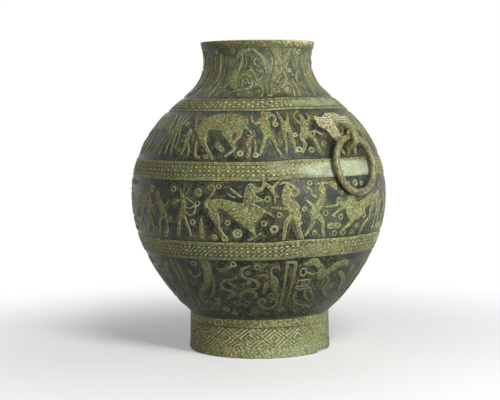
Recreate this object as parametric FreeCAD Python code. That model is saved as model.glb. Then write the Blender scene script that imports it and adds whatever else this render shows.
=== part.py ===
import FreeCAD, Part
import os
from math import acos, asin, atan2, cos, degrees, hypot, pi, radians, sin, sqrt
from FreeCAD import Matrix, Vector

# A bronze hu: a hollow cast vase with two mask lugs on its shoulders, each holding a loose ring.
# Millimetres, +Z up, the middle of the foot's underside at the origin, the lugs on the X axis.

# Body, as radii of the outer skin and heights as shares of the whole
total_height = 360.0
belly_radius = 149.2
belly_share = 0.5067
neck_radius = 62.8
neck_share = 0.9406
wall = 3.0

# Curves of the outline from the belly down and from the belly up
under_belly_curve = 150.0
under_belly_turn = radians(25)
shoulder_run = 34.0
neck_curve = 48.0

# Lip
lip_height = 8.5
lip_step = 0.8
lip_flare = 1.6
lip_round = 1.1

# Foot
foot_height = 46.0
foot_radius = 82.0
foot_flare = 0.8
foot_wall = 5.0
foot_top_ledge = 1.4
foot_base_height = 11.0
foot_moulding_height = 11.5
lattice_recess = 0.8
floor_thickness = 4.0
floor_round = 22.0

# Raised bands between the picture registers, as a middle share of the height and a width
band_rise = 0.8
band_shares = {"shoulder": (0.797, 12.9), "belly": (0.5992, 19.6), "lower": (0.3572, 19.5)}
bead_height = 50.0
bead_width = 2.4
bead_rise = 0.8

# Nested lozenges round the foot
lozenge_count = 20
lozenge_gap = 1.6
lozenge_frame = 2.2
lozenge_core = 0.34

# A chip broken from the foot's lower edge
chip_turn = radians(108)
chip_length = 30.0
chip_rise = 4.0

# Loose ring
ring_curve = 31.0
ring_wire = 7.8
play = 0.3

# Loop that holds the ring, a strap round an eye; runs and reaches count from the ring's pivot
pivot_share = 0.6958
pivot_reach = 8.9
eye_clearance = 0.5
eye_rise = 5.4
loop_thickness = 5.0
loop_chin = 7.0
loop_width = 9.5
loop_round = 1.7
loop_top_run = 26.0

# Animal mask cast behind the loop
mask_middle = 12.0
mask_height = 42.0
mask_width = 58.0
mask_rise = 2.2
eye_boss = 4.2
eye_boss_rise = 3.4
eye_spread = 0.42
eye_drop = 2.0
brow_rise = 3.4
brow_outline = [(0.2, 3), (0.5, 9), (0.9, 7), (0.55, 5)]

# Raised pictures, as limbs of (degrees round, millimetres up the wall, half width); each set comes
# round again after picture_pitch degrees, and its middle is picture_turn from the +X lug
figure_rise = 0.75
picture_turn = -46.5
picture_pitch = 120.0
lower_figures = {
    "serpent": [
        [(-5, 80, 1.5), (-9, 74, 1.6), (-8, 66, 1.8), (-2, 61, 1.8), (-1, 53, 1.8), (-9, 45, 1.8)],
        [(-12, 64, 1.2), (-19, 60, 1.6), (-21, 51, 1.6), (-15, 44, 1.9), (-18, 37, 2)],
    ],
    "bars": [[(13.3, 84, 1.5), (13, 20, 1.3)], [(17.6, 84, 1.5), (16.8, 24, 1.3)]],
    "bird": [[(6, 78, 1.3), (5.8, 71, 1.6), (8, 59, 4.2), (8.4, 48, 2.4), (10.5, 36, 1.2)]],
    "facing_beast": [[(23, 83, 2.6), (27, 84, 4.6), (31.4, 76, 3.8), (33.2, 65, 4.8), (37.4, 69, 4.4)]],
    "plume": [[(-26.6, 85, 4.6), (-26.6, 72, 5.4), (-29.6, 55, 3.4), (-35.4, 42, 2)]],
}
middle_figures = {
    "right_beast": [
        [(-20, 38, 6.6), (-12.5, 41, 7), (-8, 35, 12), (-4, 34, 13)],
        [(-3.6, 36, 9), (-2.6, 50, 8), (-1.8, 60, 4.4)],
        [(-2.2, 60, 3), (1.6, 64, 2.2), (5.8, 57, 1.6)],
        [(-20, 36, 6.4), (-18.5, 22, 3.2), (-18, 17, 2), (-13.9, 7, 1.4)],
        [(-5, 24, 6), (-4.2, 12, 2.4), (-6, 5, 1.4)],
        [(-22.6, 36, 1.9), (-22.4, 43, 1.6), (-18.8, 57, 1.3), (-20.6, 63, 1.2)],
        [(-1.6, 40, 2.6), (6, 29.3, 1)],
    ],
    "first_man": [
        [(11.6, 57, 3.2), (11.8, 48, 5.2), (14.6, 34, 5.8), (16, 21, 2.2), (18.3, 8, 1.4)],
        [(13, 32, 4), (10.9, 21, 2.3), (10.3, 5.5, 1.8)],
        [(4.6, 39.2, 0.9), (12, 41, 2)],
    ],
    "second_man": [
        [(27.7, 58, 4.4), (26.6, 44, 5), (23.4, 31, 4), (23.4, 20.5, 2.1), (20.5, 8, 1.4)],
        [(24.6, 31, 4), (28.1, 20.5, 2.6), (29.3, 6, 1.7)],
        [(20.4, 46, 1), (24.6, 39, 2.4)],
    ],
    "left_beast": [
        [(43.2, 42, 7), (45, 33, 11), (52.6, 39.4, 6.6), (59, 43, 5.6)],
        [(44.4, 26, 5), (43.4, 18.6, 2.6), (38, 8.6, 1.5)],
        [(58.6, 38, 4.4), (57.4, 25, 2.8), (51, 8.4, 1.5)],
        [(28.4, 38.3, 1), (42, 41, 3)],
    ],
    "archer": [
        [(-33.5, 50, 2.8), (-33.4, 37, 3), (-35.8, 24, 2.2), (-37.6, 7, 1.7)],
        [(-33.8, 32, 2.6), (-31.2, 13, 1.4), (-30.8, 7, 1.3)],
        [(-32.8, 46, 1.4), (-27.2, 41.5, 1.1)],
    ],
}
upper_figures = {
    "ox": [
        [(-28.6, 43, 7), (-26.6, 48.6, 10), (-17.4, 50, 12), (-12.6, 48.4, 12.6), (-10.6, 46, 9)],
        [(-29, 44, 8), (-28, 28, 4.6), (-24.8, 17, 2), (-20.8, 3.4, 1.7)],
        [(-15, 38, 7), (-13.4, 25.4, 2.6), (-11.2, 16.6, 1.9), (-15, 7, 1.4)],
    ],
    "walking_man": [
        [(3, 63, 3), (3.4, 45, 5.6), (4.6, 34, 4.8), (7.8, 23, 2.2), (10, 9, 1.5)],
        [(3.8, 36, 3.4), (0.8, 9, 1.6)],
    ],
    "spears": [
        [(11.2, 65, 0.9), (14, 43, 3.4), (12.9, 30, 2.2), (12.9, 11, 1)],
        [(17.2, 65, 0.9), (15, 43, 3.4), (16.3, 30, 2.2), (17.1, 11, 1)],
    ],
    "saluting_man": [
        [(25, 58, 2.8), (24.8, 43, 5), (22.6, 32, 3.4), (21.6, 24, 2), (20.6, 11, 1.5)],
        [(24.6, 35, 3.4), (28.2, 22, 1.9), (29.8, 11, 1.5)],
        [(20, 56, 1.2), (24.6, 45, 3), (29.4, 54, 1.6), (29.6, 62, 1.1)],
    ],
}
neck_figures = {
    "curled_bird": [
        [(-28, 23, 2.4), (-30, 36, 3), (-23, 43, 3.2), (-11, 39, 2), (-4.6, 27, 1.6), (-12, 18, 1.6)],
    ],
    "long_legged_beast": [
        [(24, 51, 1.4), (31.4, 40, 3), (43, 41, 5.4), (55, 41, 5)],
        [(30.6, 38, 2.6), (24, 22, 1.5), (20, 6, 1.2)],
        [(42.6, 38, 2.8), (37, 21, 1.6), (36.4, 8, 1.3)],
        [(52, 38, 3), (44, 20, 1.8), (42, 7, 1.4)],
    ],
}

ring_radius = ring_wire / 2
eye_radius = ring_radius + eye_clearance
lip_bottom = total_height - lip_height
belly_height = belly_share * total_height
neck_height = neck_share * total_height
pivot_height = pivot_share * total_height
bands = {name: (share * total_height, width) for name, (share, width) in band_shares.items()}

# Outline worked out from the sizes above: four tangent arcs and a straight shoulder
swell = belly_radius - neck_radius
climb = neck_height - belly_height
curve_sum = (swell**2 + climb**2 - shoulder_run**2) / (2 * swell)
shoulder_curve = curve_sum - neck_curve
shoulder_slope = atan2(climb, curve_sum - swell) - acos(curve_sum / hypot(climb, curve_sum - swell))
under_belly_axis = (belly_radius - under_belly_curve, belly_height)
shoulder_axis = (belly_radius - shoulder_curve, belly_height)
neck_axis = (neck_radius + neck_curve, neck_height)

# The lowest arc leaves the one above it without a corner and lands on the foot
turn_radius = under_belly_axis[0] + under_belly_curve * cos(under_belly_turn)
turn_height = belly_height - under_belly_curve * sin(under_belly_turn)
land_radius = foot_radius + foot_top_ledge
drop = (land_radius - turn_radius, foot_height - turn_height)
inward = (-cos(under_belly_turn), sin(under_belly_turn))
bowl_curve = (drop[0] ** 2 + drop[1] ** 2) / (2 * (drop[0] * inward[0] + drop[1] * inward[1]))
bowl_axis = (turn_radius + bowl_curve * inward[0], turn_height + bowl_curve * inward[1])

ORIGIN = Vector(0, 0, 0)
UP = Vector(0, 0, 1)


def on_arc(axis, radius, angle):
    return Vector(axis[0] + radius * cos(angle), 0, axis[1] + radius * sin(angle))


def arc(axis, radius, start, end):
    return Part.Arc(*[on_arc(axis, radius, a) for a in (start, (start + end) / 2, end)]).toShape()


def line(start, end):
    return Part.LineSegment(start, end).toShape()


# The vessel's outline pushed in by inset, turned into a solid between two heights
def skin(inset, low, high, floor_curve=0):
    bowl = bowl_curve - inset
    floor_axis_height = low + floor_curve
    bowl_start = -asin((bowl_axis[1] - floor_axis_height) / (bowl - floor_curve))
    neck = neck_curve + inset
    neck_end = pi - asin((high - neck_height) / neck)
    first = on_arc(bowl_axis, bowl, bowl_start)
    edges = []
    if floor_curve:
        floor_axis = (bowl_axis[0] + (bowl - floor_curve) * cos(bowl_start), floor_axis_height)
        edges.append(arc(floor_axis, floor_curve, -pi / 2, bowl_start))
        first = Vector(floor_axis[0], 0, low)
    edges += [
        arc(bowl_axis, bowl, bowl_start, -under_belly_turn),
        arc(under_belly_axis, under_belly_curve - inset, -under_belly_turn, 0),
        arc(shoulder_axis, shoulder_curve - inset, 0, shoulder_slope),
        line(
            on_arc(shoulder_axis, shoulder_curve - inset, shoulder_slope),
            on_arc(neck_axis, neck, pi + shoulder_slope),
        ),
        arc(neck_axis, neck, pi + shoulder_slope, neck_end),
    ]
    last = on_arc(neck_axis, neck, neck_end)
    edges.append(line(last, Vector(0, 0, last.z)))
    edges.append(line(Vector(0, 0, last.z), Vector(0, 0, first.z)))
    edges.append(line(Vector(0, 0, first.z), first))
    return Part.Face(Part.Wire(edges)).revolve(ORIGIN, UP, 360)


# Slope of the skin's outward direction above level, and its radius, at a height
def lean_at(height):
    if height >= neck_height - neck_curve * sin(shoulder_slope):
        return asin((neck_height - height) / neck_curve)
    if height >= belly_height + shoulder_curve * sin(shoulder_slope):
        return shoulder_slope
    if height >= belly_height:
        return asin((height - belly_height) / shoulder_curve)
    if height >= turn_height:
        return -asin((belly_height - height) / under_belly_curve)
    return -asin((bowl_axis[1] - height) / bowl_curve)


def radius_at(height):
    if height >= neck_height - neck_curve * sin(shoulder_slope):
        return neck_axis[0] - neck_curve * cos(lean_at(height))
    if height >= belly_height + shoulder_curve * sin(shoulder_slope):
        corner = on_arc(shoulder_axis, shoulder_curve, shoulder_slope)
        return corner.x - (height - corner.z) * sin(shoulder_slope) / cos(shoulder_slope)
    if height >= belly_height:
        return shoulder_axis[0] + shoulder_curve * cos(lean_at(height))
    if height >= turn_height:
        return under_belly_axis[0] + under_belly_curve * cos(lean_at(height))
    return bowl_axis[0] + bowl_curve * cos(lean_at(height))


# Frame that lays a flat shape on the skin: x round the vase, y up the slope, z outwards
def skin_frame(turn, height):
    lean = lean_at(height)
    out = Vector(cos(turn) * cos(lean), sin(turn) * cos(lean), sin(lean))
    side = Vector(-sin(turn), cos(turn), 0)
    up = out.cross(side)
    radius = radius_at(height)
    return Matrix(
        side.x, up.x, out.x, radius * cos(turn),
        side.y, up.y, out.y, radius * sin(turn),
        side.z, up.z, out.z, height,
        0, 0, 0, 1,
    )


def disc(radius, low, high):
    return Part.makeCylinder(radius, high - low, Vector(0, 0, low))


# Circular edges of a solid at one height and radius
def rims(shape, radius, height):
    found = []
    for edge in shape.Edges:
        if not isinstance(edge.Curve, Part.Circle):
            continue
        if abs(edge.Curve.Radius - radius) < 0.01 and abs(edge.Curve.Center.z - height) < 0.01:
            found.append(edge)
    return found


def band(middle, width, rise):
    low = middle - width / 2
    return skin(-rise, foot_height, lip_bottom).common(disc(2 * belly_radius, low, low + width))


def foot():
    moulding_bottom = foot_height - foot_moulding_height
    ring = Part.makeCone(foot_radius + foot_flare, foot_radius, foot_height)
    groove = disc(2 * foot_radius, foot_base_height, moulding_bottom)
    inner = disc(foot_radius - lattice_recess, foot_base_height, moulding_bottom)
    return ring.cut(groove.cut(inner))


def polygon(points):
    corners = [Vector(x, y, 0) for x, y in points]
    return Part.Face(Part.makePolygon(corners + corners[:1]))


def lozenge(half_width, half_height):
    return polygon([(half_width, 0), (0, half_height), (-half_width, 0), (0, -half_height)])


# One framed lozenge of the lattice, raised to the foot's own surface
def lattice():
    low = foot_base_height
    high = foot_height - foot_moulding_height
    half_height = (high - low - lozenge_gap) / 2
    half_width = pi * foot_radius / lozenge_count - lozenge_gap / 2
    shrink = 1 - lozenge_frame * hypot(half_width, half_height) / (half_width * half_height)
    frame = lozenge(half_width, half_height).cut(lozenge(half_width * shrink, half_height * shrink))
    core = lozenge(half_width * lozenge_core, half_height * lozenge_core)
    depth = foot_wall / 2
    limit = Part.makeCone(foot_radius + foot_flare, foot_radius, foot_height)
    stand = Matrix(
        0, 0, 1, foot_radius - depth,
        1, 0, 0, 0,
        0, 1, 0, (low + high) / 2,
        0, 0, 0, 1,
    )
    pieces = []
    for flat in (frame, core):
        block = flat.extrude(Vector(0, 0, 2 * depth))
        pieces.append(block.transformGeometry(stand).common(limit))
    return [
        turned(piece, 2 * pi * i / lozenge_count) for i in range(lozenge_count) for piece in pieces
    ]


def turned(shape, angle):
    copy = shape.copy()
    copy.rotate(ORIGIN, UP, degrees(angle))
    return copy


# The wedge of metal lost from the foot's lower edge
def chip():
    outer = foot_radius + foot_flare
    cutter = polygon(
        [(-chip_length / 2, -1), (-chip_length / 3, chip_rise), (chip_length / 2, -1)]
    )
    block = cutter.extrude(Vector(0, 0, 2 * foot_wall))
    stand = Matrix(0, 0, 1, outer - 1.3 * foot_wall, 1, 0, 0, 0, 0, 1, 0, 0, 0, 0, 0, 1)
    return turned(block.transformGeometry(stand), chip_turn - pi / 2)


# Height reached by going a distance up the wall
def climbed(height, run):
    steps = 60
    for _ in range(steps):
        height += run / steps * cos(lean_at(height))
    return height


# Lays an upright block on the wall at a turn from +X, half sunk, and trims it to rise above the skin
def on_skin(block, rise, height, turn=0):
    laid = block.copy()
    laid.translate(Vector(0, 0, -2 * wall))
    laid.transformShape(skin_frame(turn, height), True)
    return laid.common(skin(-rise, foot_height, lip_bottom))


# One flat limb through points of x, y and half width, pointed at both ends
def limb(points):
    left = []
    right = []
    for i, (x, y, half) in enumerate(points):
        before = points[max(i - 1, 0)]
        after = points[min(i + 1, len(points) - 1)]
        length = hypot(after[0] - before[0], after[1] - before[1])
        ahead = ((after[0] - before[0]) / length, (after[1] - before[1]) / length)
        left.append((x - ahead[1] * half, y + ahead[0] * half))
        right.append((x + ahead[1] * half, y - ahead[0] * half))
        end = (x + ahead[0] * half, y + ahead[1] * half)
        if i == 0:
            start = (x - ahead[0] * half, y - ahead[1] * half)
    return polygon([start] + left + [end] + right[::-1])


# A figure's limbs as one raised piece, its points measured from the foot of its register
def figure(limbs, bottom, turn):
    spots = [spot for points in limbs for spot in points]
    middle = (min(spot[0] for spot in spots) + max(spot[0] for spot in spots)) / 2
    level = (min(spot[1] for spot in spots) + max(spot[1] for spot in spots)) / 2
    height = climbed(bottom, level)
    degree = radians(1) * radius_at(height)
    blocks = []
    for points in limbs:
        flat = limb([((x - middle) * degree, y - level, half) for x, y, half in points])
        blocks.append(flat.extrude(Vector(0, 0, 4 * wall)))
    block = blocks[0].multiFuse(blocks[1:]).removeSplitter() if len(blocks) > 1 else blocks[0]
    return on_skin(block, figure_rise, height, radians(picture_turn + turn + middle))


# Whether a figure in the masks' register stands clear of both lugs
def clear_of_lugs(limbs, turn):
    room = mask_width / radius_at(pivot_height)
    for points in limbs:
        for x, _, _ in points:
            off = sin(radians(picture_turn + turn + x))
            if abs(off) < sin(room / 2 + radians(3)):
                return False
    return True


def pictures():
    lower_top = bands["lower"][0] + bands["lower"][1] / 2
    belly_top = bands["belly"][0] + bands["belly"][1] / 2
    shoulder_top = bands["shoulder"][0] + bands["shoulder"][1] / 2
    registers = [
        (foot_height, lower_figures, False),
        (lower_top, middle_figures, False),
        (belly_top, upper_figures, True),
        (shoulder_top, neck_figures, False),
    ]
    found = []
    for bottom, figures, beside_lugs in registers:
        for limbs in figures.values():
            for repeat in range(round(360 / picture_pitch)):
                turn = repeat * picture_pitch
                if beside_lugs and not clear_of_lugs(limbs, turn):
                    continue
                found.append(figure(limbs, bottom, turn))
    return found


def vase_body():
    body = skin(0, foot_height, lip_bottom)
    lip_root = neck_axis[0] - sqrt(neck_curve**2 - (lip_bottom - neck_height) ** 2)
    lip = Part.makeCone(
        lip_root + lip_step, lip_root + lip_step + lip_flare, lip_height, Vector(0, 0, lip_bottom)
    )
    mouth = neck_radius - wall
    lip = lip.makeFillet(lip_round, rims(lip, lip_root + lip_step + lip_flare, total_height))
    raised = [lip, foot(), band(bead_height, bead_width, bead_rise)]
    raised += [band(middle, width, band_rise) for middle, width in bands.values()]
    raised += lattice()
    raised += pictures()
    body = body.fuse(raised)
    cavity = skin(wall, foot_height + floor_thickness, neck_height, floor_round)
    cavity = cavity.fuse(disc(mouth, neck_height, total_height + 1))
    hollow = disc(foot_radius - foot_wall, -1, foot_height)
    hollow = hollow.makeFillet(foot_wall, rims(hollow, foot_radius - foot_wall, foot_height))
    body = body.cut([cavity, hollow, chip()])
    return body.removeSplitter()


# Where the ring hangs in its loop, in the plane of the right lug
pivot_lean = lean_at(pivot_height)
pivot = Vector(radius_at(pivot_height) + pivot_reach / cos(pivot_lean), 0, pivot_height)


# Moves a flat outline, drawn as run up the wall and reach away from it, to the lug's plane
def lug_point(run, reach):
    up_slope = Vector(-sin(pivot_lean), 0, cos(pivot_lean))
    out = Vector(cos(pivot_lean), 0, sin(pivot_lean))
    return pivot + up_slope * run + out * reach


def lug_arc(*points):
    return Part.Arc(*[lug_point(*p) for p in points]).toShape()


def lug_curve(*points):
    curve = Part.BezierCurve()
    curve.setPoles([lug_point(*p) for p in points])
    return curve.toShape()


def eye():
    corner = eye_radius / sqrt(2)
    edges = [
        lug_arc((0, eye_radius), (-corner, corner), (-eye_radius, 0)),
        lug_arc((-eye_radius, 0), (-corner, -corner), (0, -eye_radius)),
        line(lug_point(0, -eye_radius), lug_point(eye_rise, -eye_radius)),
        lug_arc(
            (eye_rise, -eye_radius),
            (eye_rise + eye_radius, 0),
            (eye_rise, eye_radius),
        ),
        line(lug_point(eye_rise, eye_radius), lug_point(0, eye_radius)),
    ]
    return Part.Face(Part.Wire(edges))


# The strap from the side: off the brow, over the eye and back to the wall under the ring
def strap():
    reach = eye_radius + loop_thickness
    chin = eye_radius + loop_chin
    brow = mask_rise - pivot_reach
    root = -pivot_reach - wall
    bridge = lug_curve(
        (loop_top_run, brow),
        (0.75 * loop_top_run, brow / 2),
        (0.55 * loop_top_run, reach),
        (eye_rise / 2, reach),
    )
    nose = lug_curve((eye_rise / 2, reach), (-0.6 * chin, reach), (-chin, 0.7 * reach), (-chin, 0))
    edges = [
        bridge,
        nose,
        line(lug_point(-chin, 0), lug_point(-chin, root)),
        line(lug_point(-chin, root), lug_point(loop_top_run, root)),
        line(lug_point(loop_top_run, root), lug_point(loop_top_run, brow)),
    ]
    return Part.Face(Part.Wire(edges))


def loop():
    outline = strap().cut(eye())
    outline.translate(Vector(0, -loop_width / 2, 0))
    block = outline.extrude(Vector(0, loop_width, 0))
    rounded = []
    for edge in block.Edges:
        on_side = all(abs(abs(v.Point.y) - loop_width / 2) < 0.01 for v in edge.Vertexes)
        flat = abs(edge.CenterOfMass.y) > loop_width / 2 - 0.01
        buried = (edge.CenterOfMass - pivot).dot(lug_point(0, 1) - pivot) < mask_rise - pivot_reach
        if on_side and flat and not buried:
            rounded.append(edge)
    return block.makeFillet(loop_round, rounded)


def mirrored(points):
    return points + [(-x, y) for x, y in reversed(points)]


# The mask's outline: snout below, cheeks, ears and a notched crest
def mask_plate():
    half = mask_width / 2
    low = -mask_height / 2
    right = [
        (0.30 * half, low),
        (0.62 * half, low + 0.20 * mask_height),
        (0.72 * half, low + 0.44 * mask_height),
        (half, low + 0.62 * mask_height),
        (0.97 * half, low + 0.96 * mask_height),
        (0.60 * half, low + 0.86 * mask_height),
        (0.30 * half, low + mask_height),
    ]
    return polygon(mirrored(right))


def mask_lug():
    height = pivot_height + mask_middle * cos(lean_at(pivot_height + mask_middle / 2))
    half = mask_width / 2
    depth = Vector(0, 0, 5 * wall)
    pieces = [on_skin(mask_plate().extrude(depth), mask_rise, height)]
    for side in (1, -1):
        boss = Part.makeCylinder(eye_boss, depth.z, Vector(side * eye_spread * half, -eye_drop, 0))
        brow = polygon([(side * x * half, y) for x, y in brow_outline])
        pieces.append(on_skin(boss, eye_boss_rise, height))
        pieces.append(on_skin(brow.extrude(depth), brow_rise, height))
    keep_off = [skin(0, foot_height, lip_bottom), band(*bands["shoulder"], band_rise)]
    lug = loop().fuse(pieces).cut(keep_off)
    solids = sorted(lug.Solids, key=lambda solid: -solid.Volume)
    return solids[0].removeSplitter()


# Distance from a point outside the vessel to its skin, measured in the upright plane through it
def skin_gap(radius, height):
    to_shoulder = hypot(radius - shoulder_axis[0], height - shoulder_axis[1]) - shoulder_curve
    to_belly = hypot(radius - under_belly_axis[0], height - under_belly_axis[1]) - under_belly_curve
    return to_shoulder if height > belly_height else to_belly


# Lean of the ring's plane from upright at which it comes to rest on the raised work of the wall
def ring_lean():
    steps = 72

    def clearance(lean):
        gaps = []
        for step in range(steps):
            angle = 2 * pi * step / steps
            along = ring_curve * (1 + cos(angle))
            across = ring_curve * sin(angle)
            out = pivot.x + along * sin(lean)
            gaps.append(skin_gap(hypot(out, across), pivot.z - along * cos(lean)))
        return min(gaps) - ring_radius - band_rise - play

    low, high = 0.0, radians(60)
    for _ in range(40):
        middle = (low + high) / 2
        if clearance(middle) > 0:
            high = middle
        else:
            low = middle
    return high


def ring():
    lean = ring_lean()
    down = Vector(sin(lean), 0, -cos(lean))
    middle = pivot + down * ring_curve
    return Part.makeTorus(ring_curve, ring_radius, middle, Vector(cos(lean), 0, sin(lean)))


os.makedirs("parts", exist_ok=True)
right_lug = mask_lug()
right_ring = ring()
vase_body().exportStep("parts/vase_body.step")
right_lug.exportStep("parts/mask_lug_right.step")
turned(right_lug, pi).exportStep("parts/mask_lug_left.step")
right_ring.exportStep("parts/ring_handle_right.step")
turned(right_ring, pi).exportStep("parts/ring_handle_left.step")
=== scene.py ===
import bmesh
import bpy
import numpy as np
from math import acos, asin, atan2, cos, hypot, pi, radians, sin
from mathutils import Matrix, Vector


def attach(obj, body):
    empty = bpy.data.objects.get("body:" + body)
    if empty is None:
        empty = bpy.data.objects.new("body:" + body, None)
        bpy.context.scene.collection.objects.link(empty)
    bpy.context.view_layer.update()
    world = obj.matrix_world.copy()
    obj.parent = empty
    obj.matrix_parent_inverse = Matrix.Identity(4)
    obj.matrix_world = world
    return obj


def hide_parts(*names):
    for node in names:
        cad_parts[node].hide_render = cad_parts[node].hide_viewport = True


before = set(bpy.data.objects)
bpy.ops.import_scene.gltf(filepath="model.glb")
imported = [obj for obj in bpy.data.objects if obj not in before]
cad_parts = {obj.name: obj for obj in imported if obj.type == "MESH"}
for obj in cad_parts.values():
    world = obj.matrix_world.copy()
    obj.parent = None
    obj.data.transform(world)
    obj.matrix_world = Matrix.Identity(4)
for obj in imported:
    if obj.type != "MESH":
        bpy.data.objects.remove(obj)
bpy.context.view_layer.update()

mm = 0.001

# Sizes shared with the solid model, in millimetres
vessel = {
    "height": 360.0, "belly": 149.2, "bellyHeight": 182.41, "neck": 62.8, "neckHeight": 338.62, "wall": 3.0,
    "underCurve": 150.0, "underTurn": radians(25), "shoulderRun": 34.0, "neckCurve": 48.0, "floor": 50.0,
    "lipHeight": 8.5, "lipStep": 0.8, "lipFlare": 1.6, "footHeight": 46.0, "foot": 82.0, "footFlare": 0.8,
    "footWall": 5.0, "footLedge": 1.4, "footBase": 11.0, "footMoulding": 11.5}
viewTurn = 43.5  # the camera's side of the vase, from -Y toward +X
pictureTurn = 120  # degrees round before the pictures repeat


# Outline of the vessel: run along the skin, radius, height and outward slope
def outlineTable():
    v = vessel
    swell, climb = v["belly"] - v["neck"], v["neckHeight"] - v["bellyHeight"]
    curveSum = (swell ** 2 + climb ** 2 - v["shoulderRun"] ** 2) / (2 * swell)
    shoulder = curveSum - v["neckCurve"]
    slope = atan2(climb, curveSum - swell) - acos(curveSum / hypot(climb, curveSum - swell))
    under, turn = v["underCurve"], v["underTurn"]
    turnRadius = v["belly"] - under + under * cos(turn)
    turnHeight = v["bellyHeight"] - under * sin(turn)
    drop = (v["foot"] + v["footLedge"] - turnRadius, v["footHeight"] - turnHeight)
    inward = (-cos(turn), sin(turn))
    bowl = (drop[0] ** 2 + drop[1] ** 2) / (2 * (drop[0] * inward[0] + drop[1] * inward[1]))
    bowlAxis = (turnRadius + bowl * inward[0], turnHeight + bowl * inward[1])
    lipBottom = v["height"] - v["lipHeight"]
    parts = []
    low = -asin((bowlAxis[1] - v["footHeight"]) / bowl)
    for axis, radius, start, end in ((bowlAxis, bowl, low, -turn),
                                     ((v["belly"] - under, v["bellyHeight"]), under, -turn, 0),
                                     ((v["belly"] - shoulder, v["bellyHeight"]), shoulder, 0, slope)):
        t = np.linspace(start, end, 240)
        parts.append(np.stack([axis[0] + radius * np.cos(t), axis[1] + radius * np.sin(t), t], 1))
    neckAxis = (v["neck"] + v["neckCurve"], v["neckHeight"])
    curve = v["neckCurve"]
    t = np.linspace(slope, asin((neckAxis[1] - lipBottom) / curve), 240)
    parts.append(np.stack([neckAxis[0] - curve * np.cos(t), neckAxis[1] - curve * np.sin(t), t], 1))
    table = np.concatenate(parts)
    run = np.concatenate([[0], np.cumsum(np.hypot(np.diff(table[:, 0]), np.diff(table[:, 1])))])
    return np.column_stack([run + v["footHeight"], table])


outline = outlineTable()


def skinPoint(run, inset=0.0):
    r, z, lean = (np.interp(run, outline[:, 0], outline[:, i]) for i in (1, 2, 3))
    return r - inset * np.cos(lean), z - inset * np.sin(lean)


def runAt(height):
    return float(np.interp(height, outline[:, 2], outline[:, 0]))


# Signed distances in millimetres, negative inside
def wrap(angle, period):
    return (angle + period / 2) % period - period / 2


def smooth(points, count=4):
    p = np.array(points, float)
    if len(p) < 3:
        return p
    p = np.vstack([2 * p[0] - p[1], p, 2 * p[-1] - p[-2]])
    out = []
    for a, b, c, d in zip(p[:-3], p[1:-2], p[2:-1], p[3:]):
        for t in np.arange(count) / count:
            bend, twist = 2 * a - 5 * b + 4 * c - d, 3 * b - a - 3 * c + d
            out.append(0.5 * (2 * b + (c - a) * t + bend * t * t + twist * t ** 3))
    return np.array(out + [p[-2]])


# The points within reach of a box left to right of its centre and low to high, and their turn from it
def near(turn, rise, scale, centre, low, high, left, right, reach):
    du = wrap(turn - centre, pictureTurn)
    pad = reach / scale
    inside = (du > left - pad) & (du < right + pad) & (rise > low - reach) & (rise < high + reach)
    return np.nonzero(inside)[0], du


def addStroke(field, turn, rise, scale, points):
    p = smooth(points)
    base = p[:, 0].mean()
    (left, low), (right, high) = p[:, :2].min(0), p[:, :2].max(0)
    at, du = near(turn, rise, scale, base, low, high, left - base, right - base, p[:, 2].max() + 4)
    if not len(at):
        return
    k, x, y = scale[at], du[at] * scale[at], rise[at]
    best = np.full(len(at), 99.0)
    for a, b in zip(p[:-1], p[1:]):
        ax, dx, dy = (a[0] - base) * k, (b[0] - a[0]) * k, b[1] - a[1]
        t = np.clip(((x - ax) * dx + (y - a[1]) * dy) / (dx * dx + dy * dy + 1e-9), 0, 1)
        best = np.minimum(best, np.hypot(x - ax - t * dx, y - a[1] - t * dy) - a[2] - t * (b[2] - a[2]))
    field[at] = np.minimum(field[at], best)


def addRing(field, turn, rise, scale, ring):
    u, v, radius, half = ring[:4]
    at, du = near(turn, rise, scale, u, v, v, 0, 0, radius + 4)
    d = np.hypot(du[at] * scale[at], rise[at] - v)
    value = np.abs(d - radius) - half if half else d - radius
    if len(ring) > 4:
        value = np.minimum(value, d - ring[4])
    field[at] = np.minimum(field[at], value)


def drawing(turn, rise, scale, design):
    field = np.full(len(turn), 4.0)
    lines = np.full(len(turn), 4.0)
    for points in design["strokes"]:
        addStroke(field, turn, rise, scale, points)
    for ring in design["rings"]:
        addRing(field, turn, rise, scale, ring)
    for points in design.get("lines", ()):
        addStroke(lines, turn, rise, scale, [(u, v, 0.15) for u, v in points])
    return np.clip(field, -4, 4), np.clip(lines, -4, 4)


# Nested lozenges: share of the way from a lozenge's middle to its edge, and how long one share is
def lozenges(turn, rise, scale, count, halfHeight):
    halfWidth = 180.0 / count
    x, y = turn / halfWidth, rise / halfHeight
    a, b = wrap(x + y, 2.0), wrap(x - y, 2.0)
    w = halfWidth * scale
    return np.maximum(np.abs(a), np.abs(b)), w * halfHeight / np.hypot(w, halfHeight)


def nearest(q, step, shares, half):
    return np.min([np.abs(q - share) for share in shares], axis=0) * step - half


def ease(value, low, high):
    t = np.clip((value - low) / (high - low), 0, 1)
    return t * t * (3 - 2 * t)


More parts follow.
